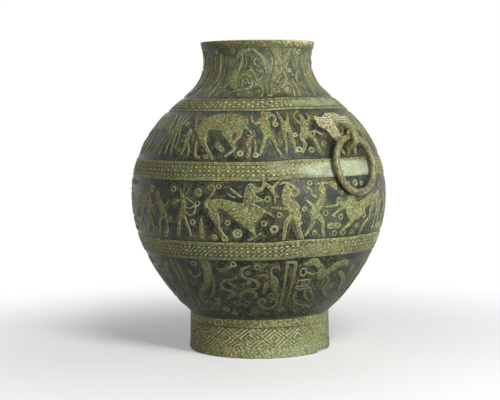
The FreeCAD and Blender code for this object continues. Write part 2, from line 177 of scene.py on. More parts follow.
# The pictures, as (degrees round from the camera's side, millimetres up, half width)
middleDesign = {"strokes": [
    # crowned archer
    [(-33.6, 50, 2.8), (-33.2, 44, 3.2), (-33.4, 37, 3.0), (-34.4, 31, 3.0)],
    [(-34.2, 51, .9), (-34.9, 60, .7)], [(-33.3, 52, .9), (-32.9, 63, .7)],
    [(-32.2, 51, .9), (-30.0, 60.5, .7)],
    [(-31.6, 49, 1.3), (-29.6, 45.5, 1.2), (-27.2, 41.5, 1.1)],
    [(-33, 39, 1.4), (-32.4, 34, 1.2), (-30.8, 30.5, 1.1), (-28.8, 31.5, 1.1), (-27.5, 36, 1.1),
     (-27.3, 40, 1.0)],
    [(-32, 38.5, .9), (-29.8, 38, .9), (-28.2, 40, .9)],
    [(-34.6, 31, 2.6), (-35.8, 24, 2.1), (-36.8, 15, 1.8), (-37.6, 7, 1.7)],
    [(-33.6, 30, 2.3), (-32.3, 22, 1.7), (-31.2, 13, 1.4), (-30.8, 7, 1.3), (-29.4, 6, 1.0)],
    [(-35, 46, 1.3), (-37.6, 45, 1.4), (-38.4, 42, 1.2)],
    [(-25, 27, .7), (-25.2, 18, 2.6), (-25.4, 7, 3.5)],
    # first beast, facing right
    [(-22.6, 40.3, 2.2), (-22.6, 44.6, 1.7), (-20.8, 50.1, 1.4), (-19.0, 56.6, 1.4), (-18.6, 60.4, 1.2),
     (-20.0, 63.1, 1.1), (-21.5, 60.8, 1.1), (-20.6, 57.6, 0.9)],
    [(-19.5, 39.4, 5.4), (-19.1, 32.8, 5.6), (-18.1, 26.3, 4.2), (-17.6, 20.8, 2.4), (-16.9, 15.2, 1.6),
     (-15.3, 9.7, 1.4), (-13.7, 4.0, 1.2), (-15.5, 3.0, 1.0)],
    [(-19.5, 42.6, 5.4), (-15.9, 43.3, 5.6), (-12.5, 40.7, 6.4), (-9.2, 36.4, 8.6), (-5.9, 32.1, 10.6),
     (-3.0, 33.2, 10.4), (-0.5, 34.2, 6.4)],
    [(-5.1, 22.3, 4.6), (-3.5, 18.9, 4.4), (-2.7, 14.5, 2.8), (-1.9, 9.9, 1.6)],
    [(-4.5, 3.6, 1.2), (-2.7, 5.4, 1.2), (-1.0, 8.2, 1.2), (0.7, 11.0, 0.9)],
    [(-4.2, 40.8, 6.5), (-3.9, 48.3, 5.6), (-3.7, 55.8, 5.4), (-3.3, 61.1, 4.2)],
    [(-2.5, 60.6, 3.0), (-0.4, 57.9, 2.6), (1.2, 60.0, 2.0), (2.1, 63.2, 1.4)],
    [(-2.5, 50.4, 3.6), (-0.4, 48.2, 2.4), (1.6, 47.1, 1.2)],
    [(-0.1, 38.6, 2.2), (2.4, 35.3, 1.4), (4.9, 31.9, 1.1), (6.3, 29.1, 0.9)],
    [(-11.7, 60.0, 0.9), (-10.0, 55.8, 1.4), (-8.3, 52.6, 1.2), (-7.0, 51.0, 0.8)],
    [(-13.2, 55.0, .8), (-11.4, 51.6, 1.0), (-9.6, 50.4, .8)],
    [(1.9, 66.6, 1.0), (4.2, 62.0, 1.9), (5.6, 57.7, 2.2), (6.6, 51.2, 1.2), (6.7, 43.7, 1.0)],
    [(5.8, 59.8, 1.4), (7.1, 64.1, 1.2), (8.6, 67.2, 1.0)], [(6.6, 52.3, 0.9), (8.2, 50.1, 0.7)],
    # first man
    [(4.9, 39.5, 0.8), (7.4, 38.7, 1.0), (10.3, 37.6, 1.8)],
    [(11.7, 60.6, 2.8), (11.2, 53.1, 4.4), (11.6, 45.6, 5.4), (13.3, 39.0, 5.2), (15.4, 33.5, 4.8)],
    [(13.7, 29.2, 3.6), (11.8, 23.9, 2.6), (11.1, 17.3, 2.0), (10.9, 10.5, 1.8), (10.6, 4.2, 1.6)],
    [(16.3, 29.0, 4.2), (16.2, 22.4, 2.8), (17.0, 15.7, 2.1), (18.0, 9.9, 1.8), (19.1, 4.6, 1.5)],
    [(14.1, 45.5, 2.0), (15.8, 42.6, 1.4), (16.9, 38.8, 1.2)],
    [(12.9, 58.4, 1.0), (13.3, 53.6, 1.2), (14.6, 50.8, 1.0)],
    [(8.8, 64.0, 0.9), (10.9, 66.0, 1.1), (13.2, 64.3, 1.1), (15.1, 60.4, 1.0), (17.0, 56.0, 0.9)],
    # second man
    [(27.7, 58.5, 4.4), (27.5, 52, 4.6), (27, 46, 4.8), (25.8, 40, 5), (24.2, 35, 4.6), (23.2, 31, 4)],
    [(20.4, 46, 1.0), (21.8, 42.6, 1.3), (23.6, 39.6, 2.2)],
    [(23.2, 31, 3.6), (23.5, 25.5, 2.8), (23.4, 20.5, 2.1), (22, 14.5, 1.7), (20.5, 8, 1.4)],
    [(24.6, 31, 4), (26.8, 26, 3.2), (28.1, 20.5, 2.6), (28.4, 13, 2), (29.3, 6, 1.7)],
    [(24.6, 63, 1.3), (27.5, 64.6, 1.6), (30.6, 64, 1.6), (33.5, 62.4, 3.6), (34.6, 58, 2.2)],
    [(20.6, 60, 1.2), (22.4, 57.6, 1.3), (22.7, 53, 1.3), (24.6, 49.5, 1.5)],
    [(31.6, 16.8, 3.3), (36.6, 16.4, 3.3)],
    # second beast, facing left
    [(28.4, 38.3, 1.0), (32.6, 38.6, 1.1), (36.4, 40, 1.6), (40, 41, 3)],
    [(32.6, 28.2, .9), (35.4, 32.2, 1.3), (38, 36, 1.8), (40.4, 38, 3)],
    [(43, 44, 6.6), (43.4, 37, 9.5), (45, 31.5, 10.5), (48.6, 33, 9), (52.6, 39.4, 6.6), (57, 43.5, 6.4),
     (60.4, 42, 5)],
    [(44.2, 24, 4.6), (43.8, 19.6, 2.8), (41.8, 15.4, 2.2), (39.4, 12.4, 1.8), (38, 8.6, 1.4)],
    [(59.4, 38, 4.4), (57.6, 31, 3.8), (57.4, 25, 2.8), (55.6, 19.6, 1.9), (52.8, 14, 1.7), (51, 8.4, 1.4)],
    [(60.8, 47, 1.9), (63, 46, 1.7), (63.8, 41, 1.5), (63, 36, 1.3)],
    # two figures further left
    [(-48.4, 52, 3.2), (-47.6, 45, 3.8), (-46, 38, 4.4), (-44.6, 30, 4.2)],
    [(-45.4, 30, 3.2), (-47.4, 24, 1.9), (-48.4, 16, 1.6), (-49.4, 8, 1.5)],
    [(-44, 29, 3), (-43.2, 20, 1.9), (-44, 10, 1.5)],
    [(-46.4, 42, 1.4), (-43.4, 39, 1.2), (-41.6, 44, 1.1)],
    [(-49.6, 42, 1.4), (-52.6, 36, 1.3), (-51.6, 29, 1.1)],
    [(-55.4, 47, 5), (-54.8, 38, 5.4), (-55.6, 30, 4)],
    [(-56, 28, 2.6), (-57.4, 18, 1.7), (-58.2, 8, 1.5)],
    [(-54.6, 28, 2.4), (-53.4, 17, 1.6), (-54.6, 7, 1.4)],
], "lines": [
    [(-16.4, 35.7), (-15.4, 31.9), (-15.3, 27.6), (-16.5, 20.9)],
    [(-2.5, 40.2), (-0.5, 38.6), (0.3, 33.7), (-0.7, 28.3), (-2.6, 28.8), (-3.6, 32.7), (-2.3, 34.8)],
    [(-2.1, 55.2), (0, 53.6), (2, 55.1)], [(-19, 44.8), (-19.7, 40.4), (-18.8, 37.2), (-17.7, 38.9)],
    [(11.1, 43.5), (12.8, 41.2), (13.7, 35.8)], [(15, 33.5), (16.3, 31.2), (16.4, 26.8)],
    [(42.4, 47), (44.6, 44), (44.8, 38), (42.8, 35)], [(58, 46), (56.4, 41), (57.6, 36)],
    [(26.4, 45), (24.8, 40), (25.6, 35)], [(-33.9, 46), (-33.5, 40), (-34.2, 34)],
], "rings": [
    (-26.0, 55, 3.6, 1.4, 1.7), (-26.3, 43.3, 2.4, .7), (-29.2, 22.5, 2.5, .9), (-19.5, 6, 2.4, .9, .8),
    (-15.1, 5.6, 2.4, .9), (-13.2, 22.6, 2.4, .9), (-9.2, 11, 4.2, 1.1, 2.0), (3.6, 48.4, 2.6, 1.0),
    (8.5, 31, 2.4, .9), (19.2, 37, 2.1, .8), (22, 65, 2.3, .9), (15, 55.4, 4.2, 1.3), (6.4, 15.4, 3.4, 1.2),
    (24.4, 10.4, 2.7, 0), (29.2, 31.3, 2.7, .9), (37.3, 26.2, 2.6, 1.0), (34.7, 8, 2.7, .9),
    (36.2, 44.2, 2.9, 1.5), (47.8, 14.4, 3.4, 0), (39.6, 8, 2.8, .9), (45, 8.4, 2.2, .8),
    (60.6, 24, 2.5, 0), (52.2, 25.4, 2.8, 1.2), (33.8, 27, 1.1, 0), (18, 21.4, 1.3, 0),
    (-38.6, 58, 2.6, .9), (-45.2, 7, 2.4, .8), (-52.6, 57, 2.8, 1.0), (-51.6, 11, 2.6, .9),
    (-16.8, 62, 2.2, .9), (-41, 24, 2.2, .8), (46, 62.5, 2.8, 1.3), (41.6, 62, 2.2, .9),
    (50.4, 61.5, 1.9, .8), (2, 22, 2.4, .8), (37.6, 53, 1.9, .9)]}

upperDesign = {"strokes": [
    # ox with its head down
    [(-29.4, 43, 7), (-27, 48.6, 10), (-22.6, 50.6, 10.6), (-17.4, 50, 12), (-12.6, 48.4, 12.6),
     (-10.2, 46, 9)],
    [(-29.6, 42, 7.6), (-28.7, 34, 6.4), (-27.8, 27, 4.4), (-26.8, 21.6, 2.6)],
    [(-27.2, 25, 2.6), (-24.8, 17, 2), (-22.6, 10.4, 1.8), (-20.8, 3.4, 1.7)],
    [(-30.6, 24, 1.6), (-30.2, 12, 1.5), (-29, 6, 1.7), (-27.6, 5, 1.6)],
    [(-15.4, 37, 7), (-14.6, 31, 4.4), (-13.4, 25.4, 2.6), (-12.2, 20.6, 2.1), (-11, 16.6, 1.9),
     (-12.6, 11.4, 1.6), (-15, 7, 1.4)],
    [(-9.6, 40, 4.4), (-9.4, 33, 2.8), (-10.8, 27, 1.9), (-11.9, 22, 1.5)],
    [(-19.6, 21, 2.5), (-18.2, 17.4, 3.3), (-16.8, 14, 2.9)],
    [(-7.6, 57, 1.3), (-5.8, 52, 1.5), (-6.6, 45, 1.4), (-4.8, 39, 1.2), (-3, 34, 1.1)],
    # small man in front of the ox
    [(-37.2, 38, 2.4), (-36.6, 31, 3), (-36.6, 24, 2.8), (-36.8, 18, 2.2), (-37.4, 9, 1.7)],
    [(-35.8, 22, 2), (-34.2, 16, 1.7), (-33.6, 8, 1.5)],
    [(-40.6, 31, .9), (-37, 30.6, 1.2)], [(-40.2, 24, .9), (-37, 25.2, 1.2)],
    [(-38.2, 62, 1.1), (-36.4, 52, 1.2), (-34.6, 44, 1.4), (-33.4, 37, 1.2)],
    [(-35.2, 33, 1.3), (-33.4, 30, 1.2), (-33.8, 25, 1.1)],
    # feathered fan
    [(-50.6, 36, 3.6), (-47.6, 38, 4.2), (-44.6, 38, 2.6)], [(-49.6, 42, 1.8), (-51, 59, 1.0)],
    [(-47.8, 42, 1.8), (-47, 60, 1.0)],
    [(-46, 42, 1.8), (-43.6, 57, 1.0)], [(-51.6, 36, 2), (-54.6, 22, 1.5), (-57, 10, 1.2)],
    [(-50, 34, 2), (-52, 20, 1.5), (-52.6, 8, 1.2)],
    [(-48, 34, 1.8), (-48.4, 20, 1.4), (-48, 9, 1.2)], [(-46, 35, 1.8), (-45, 20, 1.4), (-44.2, 9, 1.2)],
    [(-44.4, 38, 1.4), (-42.4, 27, 1.2), (-42.4, 15, 1.1)],
    [(-58.6, 52, 9), (-55.6, 44, 5), (-53.4, 38, 2.6)],
    # man between the ox and the spears
    [(2.8, 63, 2.8), (3.2, 56, 3.4), (3.4, 47, 5.6), (3.9, 39, 5.6), (4.8, 33, 4.6)],
    [(5.4, 57, 1.6), (8, 60.6, 1.4), (9.6, 55, 1.3), (8, 49, 1.3)],
    [(3.6, 33, 3), (2.6, 23, 2.2), (1.6, 16, 1.7), (.6, 9, 1.6)],
    [(6, 33, 3), (7.6, 24, 2.2), (8.6, 16, 1.6), (10, 9, 1.4)],
    [(1.2, 54, 1.6), (-1.2, 47, 1.3), (-3.2, 51, 1.2), (-3.8, 58, 1.1)],
    [(-3.4, 30, 1.6), (-5, 22, 2), (-4, 14, 1.6), (-4.8, 6, 1.4)],
    [(-1.8, 26, 1.3), (-1.2, 16, 1.3), (-2, 7, 1.3)],
    # forked spear shape
    [(11.2, 65, .9), (12.4, 56, 1.6), (13.6, 48, 2.6), (14.6, 43, 4)],
    [(17.2, 65, .9), (16.6, 56, 1.6), (15.6, 48, 2.6)],
    [(13.4, 43, 3), (12.9, 34, 2.3), (13, 23, 1.7), (12.9, 11, 1.0)],
    [(15.6, 43, 3), (16.2, 34, 2.3), (16.8, 23, 1.7), (17.1, 11, 1.0)],
    # man with raised arms
    [(19.9, 56, 1.1), (21.8, 62, 1.2), (24.6, 66, 1.2)], [(20, 55.6, 1.2), (22, 50, 1.9), (24.2, 46, 3)],
    [(29.6, 62, 1.1), (29.4, 54, 1.6), (27.4, 48.6, 2.4), (25.4, 45, 3.4)],
    [(25, 58, 2.8), (25.2, 50, 3.2), (24.8, 43, 5), (24, 36, 4.8), (23.4, 31, 4)],
    [(22.2, 32, 3), (21.4, 26.4, 2.2), (22.4, 21, 2), (20.6, 11, 1.5)],
    [(25.6, 33, 3), (27.6, 27, 2.2), (28.6, 20, 1.8), (29.8, 11, 1.5)],
    [(29.8, 37, 1.1), (31.6, 34, 1.1), (33.6, 31.6, 1.0)],
    [(34.8, 61, 1.0), (36.4, 53, 1.1), (38.4, 44, 1.1)],
    # bird on the sides that the masks hide in front
    [(40, 40, 3), (46, 46, 9), (53, 48, 11), (60, 47, 9)], [(42, 36, 2.4), (41, 22, 1.8), (43, 8, 1.6)],
    [(52, 36, 3), (54, 22, 2), (51, 8, 1.6)], [(47, 36, 1.6), (48, 20, 1.4), (46, 8, 1.2)],
], "lines": [
    [(-27.1, 38.4), (-25.6, 41.7), (-22.9, 39), (-22, 33.1)],
    [(-16, 34.4), (-14.6, 36.6), (-13, 34.9), (-13.5, 30.6)], [(-27.7, 30.5), (-25.4, 25.5), (-24, 27.4)],
    [(-10.3, 26.8), (-8, 29.9), (-5.5, 26.7), (-2.7, 27.3)],
    [(-6.9, 42.3), (-5.3, 38.2), (-6.2, 34.3), (-4.2, 31.7), (-2.8, 36.9)],
    [(-10.6, 52.2), (-8.3, 50), (-7, 45)],
    [(-5.7, 33), (-3.6, 29.2), (-1.7, 33), (-2.3, 38.2), (-4.3, 39.5)],
    [(.2, 40.8), (2.2, 36.8), (4.1, 31.5), (6, 30.2)], [(2.4, 50.5), (4.5, 46.2), (5.8, 40.6)],
    [(-26, 54), (-22, 56), (-17, 57), (-13, 55)], [(24, 46), (25.4, 41), (24.4, 36)],
    [(12.6, 52), (14.4, 44), (14.2, 32)],
], "rings": [
    (-8.2, 10, 2.5, .9), (-1.2, 8, 2.2, .9), (9, 46.4, 2.4, .8), (6, 62, 2.2, .8), (28, 33.4, 2.6, .9),
    (19, 14, 2.4, .9), (25, 13, 2.6, .9), (-24, 6, 2, .8), (-32.6, 55, 2.4, .9), (31.6, 56, 2.4, .9),
    (32.4, 20, 2.4, .9), (18.4, 32, 1.9, .8), (10.4, 24, 2.1, .8), (-41.4, 47, 2.2, .8), (-39.6, 14, 2, .8),
    (57, 14, 2.6, .9)]}

lowerDesign = {"strokes": [
    # serpents
    [(-4.6, 80.4, 1.4), (-7.8, 77.4, 1.5), (-9, 72, 1.6), (-8.4, 67, 1.7), (-5.8, 63.6, 1.8),
     (-2.8, 61.6, 1.8), (-.9, 57.6, 1.8), (-.8, 52.6, 1.8), (-2.4, 49.2, 1.8), (-5.6, 47.8, 1.8),
    (-8.8, 45.4, 1.7), (-10.8, 41, 1.6), (-10.6, 37, 1.3)],
    [(-7, 44.6, 1.2), (-4.4, 44.6, 1.5), (-2, 42.4, 1.6), (-2.4, 37.6, 1.8), (-3.4, 35.6, 1.4)],
    [(-12, 64, 1.1), (-15, 62.2, 1.4), (-18.4, 61, 1.5), (-20.5, 56.6, 1.6), (-20.8, 51, 1.6),
     (-18.8, 47.4, 1.6), (-16, 45.6, 1.8), (-14.6, 42, 1.9), (-15.8, 38.4, 2.1), (-18.2, 37.6, 1.9),
    (-18.8, 34, 1.2)],
    [(-16.4, 58.4, 1.1), (-15, 55, 1.5), (-13.4, 52.2, 1.7)],
    [(-13.6, 80, 1.1), (-16.6, 76.4, 1.5), (-18.6, 74.6, 2.4), (-20.6, 77, 1.3)],
    [(-26.6, 86, 4.4), (-26.2, 78, 5.6), (-26.8, 70, 5), (-28, 61, 4), (-30.4, 53, 3.2), (-33, 47, 2.6),
     (-35.4, 42, 2)],
    [(-24.6, 66, 1.6), (-25, 56, 1.6), (-25.8, 49, 1.6), (-27.6, 41, 1.5), (-30.6, 35.6, 1.3)],
    [(-31, 70, 1.6), (-34, 64, 1.5), (-36.4, 66, 1.3), (-37.4, 72, 1.1)],
    [(-26.6, 32, 2.2), (-27, 26, 2.1), (-29.6, 20, 1.9), (-33.4, 15, 1.6), (-36.4, 14, 1.2)],
    [(-37.4, 38, 1.4), (-38.6, 31, 1.5), (-36.4, 25, 1.5), (-34, 30, 1.2)],
    [(-43.6, 84, 1.4), (-43.6, 21, 1.3)], [(-47.6, 84, 1.4), (-47.4, 21, 1.3)],
    # bird
    [(7.4, 79.6, 1.0), (6, 77.4, 1.3), (5.7, 72, 1.4), (6.6, 66.4, 2.4), (7.8, 60.4, 4.2), (8.2, 54, 3.9),
     (8.4, 48, 2.5), (9.5, 42, 1.5), (10.5, 35.6, 1.1)],
    [(7.2, 79, 1.0), (9, 79.6, 1.0), (9.8, 76.4, .9)], [(-.4, 68, 1.2), (2.2, 68.6, 1.7), (4.4, 66, 1.4)],
    [(3.8, 56, 3.2), (3.2, 50, 2.6), (2.4, 43, 1.4)], [(1.6, 79, 1.5), (3.2, 83.4, 1.3)],
    # heart scroll
    [(5.4, 16.4, 1.5), (1.6, 20.6, 1.8), (-.6, 25.4, 1.8), (-.4, 31, 1.7), (2, 33.4, 1.6),
     (3.6, 30.6, 1.4), (2.6, 28.2, 1.2)],
    [(5.4, 16.4, 1.5), (9, 20.6, 1.8), (10.8, 26, 1.8), (10, 31.6, 1.7), (7.8, 33.4, 1.6),
     (6.6, 30.6, 1.4), (7.4, 28.2, 1.2)],
    [(13.2, 84, 1.5), (13.3, 52, 1.5), (13, 20, 1.3)],
    [(17.6, 84, 1.5), (17.3, 52, 1.5), (16.8, 24, 1.3)], [(13.6, 84.6, 1.2), (17.2, 84.6, 1.2)],
    # facing beast
    [(21.8, 81.4, 1.6), (24.2, 83, 3.4), (26.8, 84.4, 4.6), (29, 81, 4), (31.4, 76, 3.8), (32.8, 69, 5),
     (33.4, 63, 4.6)],
    [(22.6, 76.6, 1.0), (21, 74.8, 1.1), (20.8, 70, 1.2), (22.4, 65.8, 1.2), (24, 68, 1.0),
     (23.6, 73, 1.0), (22.6, 76.6, 1.0)],
    [(25, 70, 1.1), (27.6, 67.4, 1.2), (30.4, 68.6, 1.2)],
    [(21, 59.6, 1.0), (27, 59.4, 1.0), (27.2, 52.4, 1.0), (21.2, 51, 1.0), (20.6, 55.6, 1.0),
     (21, 59.6, 1.0)], [(23.9, 56.6, 2.7), (24, 55, 2.7)],
    [(20, 49, 1.2), (22.6, 46.4, 1.4), (25.4, 46.6, 1.6), (27.4, 48.4, 1.6), (29.6, 46.4, 1.4)],
    [(26.6, 46, 1.3), (27.2, 39, 1.3), (28.8, 33, 1.3), (31, 30, 1.1)],
    [(20.8, 43, 1.4), (20.2, 36, 1.5), (21.4, 29, 1.5), (24.4, 23.6, 1.5), (28.4, 20.6, 1.6),
     (32.6, 19.4, 2.2), (36, 14.6, 1.6)],
    [(33.6, 62, 3), (37.4, 69, 4.6), (41.6, 76, 4.6), (46.6, 79, 4), (50, 76, 2)],
    [(30.6, 42, 1.2), (33.4, 36, 1.4), (35, 28, 1.4), (38.6, 23, 1.3)],
    [(38, 62, 2), (40, 54, 1.6), (38.6, 46, 1.4), (41.4, 38, 1.6), (44.6, 33, 2), (48.4, 31, 1.4)],
    [(46, 66, 3), (50.4, 60, 3.6), (53.4, 52, 3.2), (53, 44, 2), (56, 36, 1.6)],
    [(-52, 80, 1.3), (-55, 72, 2.4), (-54, 63, 2.6), (-56.4, 54, 2), (-54.6, 46, 1.5)],
    [(-53, 38, 1.4), (-56.4, 32, 1.6), (-55.4, 25, 1.6), (-52.6, 28, 1.2)],
    [(46, 22, 1.6), (50, 17, 1.6), (54.4, 15, 1.3)],
], "rings": [
    (6.5, 38.8, 3.2, 1.1), (-12.2, 83, 2.7, .9), (-1, 79.6, 3, 1.1), (-8.8, 55, 1.9, 0),
    (-5.6, 58.6, 1.7, .7), (-23.2, 15, 2.9, .9), (-3.6, 15, 2.9, .9), (15.4, 84, 1.2, 0), (-14, 27, 3, .9),
    (-8, 27, 2.6, .8), (21, 38.6, 1.8, 0), (14.8, 14.4, 2.6, .9), (25.4, 13.4, 2.8, .9), (42, 14, 2.8, .9),
    (-33, 82, 2.6, .9), (-38.6, 55, 2.4, .9), (-40, 15, 2.6, .9), (-50.6, 14, 2.6, .9), (3.4, 74.6, 1.4, 0),
    (-5.8, 71.6, 2, .8), (36.6, 54, 2.2, .8), (44.6, 48, 2.4, .8), (56, 70, 2.6, .9), (-6, 8, 2, .7),
    (-17.6, 9, 2.4, .8), (5.4, 8, 2.2, .8), (34, 8, 2.2, .8)]}

neckDesign = {"strokes": [
    [(-41.9, 59.3, 1.4), (-42.4, 46.8, 2.0), (-42.5, 34.9, 2.4), (-42.9, 25.8, 1.6)],
    [(-45.5, 28.6, 1.0), (-46.1, 17.0, .9), (-45.1, 5.1, .8)],
    [(-38.8, 29.7, 1.1), (-39.6, 18.4, 1.0), (-40.3, 5.0, .8)],
    # curled bird
    [(-16.6, 59.8, 1.4), (-16.7, 51.9, 1.6), (-19.2, 45.1, 1.8), (-23.4, 38.1, 4.6), (-24.7, 29.4, 5.4),
     (-20.4, 20.2, 3.6)], [(-21, 57.6, 2.6), (-17, 61.5, 2.2), (-11.6, 64.2, 2.2), (-6.5, 65.2, 1.4)],
    [(-18.8, 34.4, 1.2), (-12.9, 37.3, 1.3), (-7.8, 33.6, 1.3), (-5.1, 26.4, 1.3), (-7.8, 18.5, 1.6),
     (-13.6, 16.2, 2.4), (-18.5, 14.7, 1.6)],
    [(-14.6, 20.9, 1.0), (-14.2, 29.2, 1.2), (-11.5, 31.7, 1.4), (-7.8, 25, 1.0)],
    [(-4.9, 65.2, 1.2), (-.9, 60.6, 2.2), (3.1, 53.9, 3), (7.1, 45.9, 2), (9.2, 36.5, 1.3)],
    [(-8.2, 46.1, 1.1), (-5, 39, 1.4), (-7.1, 41.4, 1.0), (-11.1, 40.3, 1.0)],
    [(-4, 36.6, 1.2), (-1.1, 30.3, 1.6), (1.7, 30.3, 1.2), (4.8, 35.3, 1.0)],
    [(.3, 23.5, 1.0), (4, 15.9, 1.0), (2.7, 4, .9)], [(6.8, 20.5, .9), (7.7, 5.6, .8)],
    [(12, 24.8, 2), (11.4, 15, 1.8), (9.6, 5.6, 1.5)],
    [(-28, 27, 1.2), (-31.6, 16, 1.2), (-33.6, 6, 1.0)],
    [(13.4, 65.1, 1.6), (20, 60.6, 4.4), (22.7, 50.5, 5.4), (19.2, 40, 4.6), (14.5, 30.2, 2.6)],
    # right half, with a house-like frame and long limbs
    [(35.4, 65, 1.6), (32.2, 57.3, 1.7), (26.5, 47.1, 1.5), (22.8, 38.9, 1.1)],
    [(27.8, 38.9, 1.4), (28.5, 31.4, 1.4), (25.2, 26.1, 1.2)],
    [(39.9, 65.4, 2.6), (46, 56.4, 2.4), (44.4, 46.1, 1.6)],
    [(52.6, 55.4, 2), (55.5, 43.9, 3.2), (56.9, 33, 3.8), (53.7, 18.9, 3.2), (49.2, 6.1, 1.8)],
    [(20.7, 18.9, 1.0), (26.1, 25.4, 1.1), (30, 24.7, 1.3), (31, 16.4, 1.1), (28.7, 5.3, .9)],
    [(35, 30.2, 1.1), (36, 18.8, 1.1), (33.2, 5.3, .9)],
    [(44.6, 40, 1.3), (40.6, 33, 1.5), (39.8, 24, 1.2)],
    [(-56.4, 60, 2.6), (-57.6, 48, 3.4), (-55.2, 36, 3), (-56.8, 22, 2), (-54, 8, 1.4)],
    [(-50.4, 56, 1.4), (-49.8, 42, 1.6), (-51.4, 30, 1.4)],
], "lines": [
    [(-25.6, 36), (-22.4, 33), (-21.6, 28), (-24, 24.6)],
    [(-8, 60.4), (-5.4, 55.4), (-3, 49), (1, 44.6), (4.6, 40)], [(-12.6, 57), (-11, 50.6), (-13.6, 45.4)],
    [(2.6, 62.6), (6.8, 56), (11, 52.4), (12.6, 45)],
    [(-1.6, 44), (1, 39.6), (3.6, 41.6)], [(24.6, 36), (20.8, 31.6), (17.6, 25)],
    [(33.6, 51), (30.8, 46), (31.6, 36), (33, 30)], [(38.2, 58), (39.6, 50.4), (41.6, 42)],
    [(47.6, 36), (46, 26), (44.2, 14)],
    [(36.6, 26), (39.4, 14), (37.8, 5)], [(-33.8, 58), (-35.4, 44), (-34.2, 30)],
    [(-1, 56), (-3.2, 52), (-1.8, 48.6)], [(9.4, 30.6), (6.4, 27), (2.8, 27.6)],
], "rings": [
    (-23.8, 11.4, 1.7, .7), (-19.9, 13, 1.4, 0), (-14.9, 7.8, 1.8, .7), (-11.3, 11.1, 1.3, 0),
    (-7.7, 11, 1.7, .7), (-4.4, 7.6, 1.3, 0), (-28.5, 14.9, 1.7, .7), (43.2, 23.3, 2.4, .9),
    (42.4, 10.4, 1.6, 0), (.6, 14.3, 1.3, 0), (-1.9, 23.6, 1.2, 0), (34.1, 41.3, 1.8, .7),
    (36.8, 36.5, 1.2, 0), (25, 15.4, 3.2, 1.2, 1.2), (15.6, 14.9, 3.2, 1.2), (-12, 26.6, 1.0, 0),
    (-34.6, 20, 1.8, .7), (-30.8, 52, 1.8, .7), (48.6, 63, 2.2, .8), (-26.4, 62.6, 1.8, .7),
    (28.6, 62, 1.6, .6), (-48, 64, 2, .8)]}

# Raised bands with their lozenge nets, and the pictures between them, from low to high along the skin
bands = [
    {"low": runAt(118.84), "high": runAt(138.34), "count": 72, "halfHeight": 4.6,
     "net": 5.6, "core": 0.22, "cut": 0.4},
    {"low": runAt(205.91), "high": runAt(225.51), "count": 84, "halfHeight": 4.7,
     "net": 5.8, "core": 0.22, "cut": 0.45},
    {"low": runAt(280.47), "high": runAt(293.37), "count": 58, "halfHeight": 3.9,
     "net": 6.0, "core": 0.34, "cut": 0.35}]
pictures = [
    {"low": 47.4, "high": bands[0]["low"], "design": lowerDesign},
    {"low": bands[0]["high"], "high": bands[1]["low"], "design": middleDesign},
    {"low": bands[1]["high"], "high": bands[2]["low"], "design": upperDesign},
    {"low": bands[2]["high"], "high": 407.0, "design": neckDesign}]
# Heights in millimetres; slip is how far the bands climb on the right of the camera's side
reliefStyle = {"band": 0.8, "figure": 0.75, "dot": 0.25, "line": 0.4, "uneven": 0.12, "slip": 2.2}

# Places where the casting is rubbed plain, several of them also a painted glare: turn, run, half width in
# degrees, half height, strength.
# Each is found again on the far side
rubbedAndGlare = [(42, 236, 32, 11, 1.0), (10, 238, 9, 8, .5), (46, 326, 34, 8, .68), (13, 372, 9, 26, .3),
          (-14, 240, 9, 6, .35), (20, 222, 12, 10, .35), (30, 148, 22, 8, .45), (-60, 148, 22, 9, .4),
          (-70, 236, 14, 9, .3), (100, 330, 20, 8, .8), (78, 150, 12, 9, .7), (62, 205, 10, 16, .45)]


def rubbedAndGlareShare(turn, run):
    wornAndSheen = np.zeros(len(turn))
    for centre, middle, halfTurn, half, strength in rubbedAndGlare:
        for offset in (0, 180):
            d = np.hypot(wrap(turn - centre - offset, 360) / halfTurn, (run - middle) / half)
            wornAndSheen = np.maximum(wornAndSheen, strength * (1 - ease(d, 0.55, 1.15)))
    return wornAndSheen


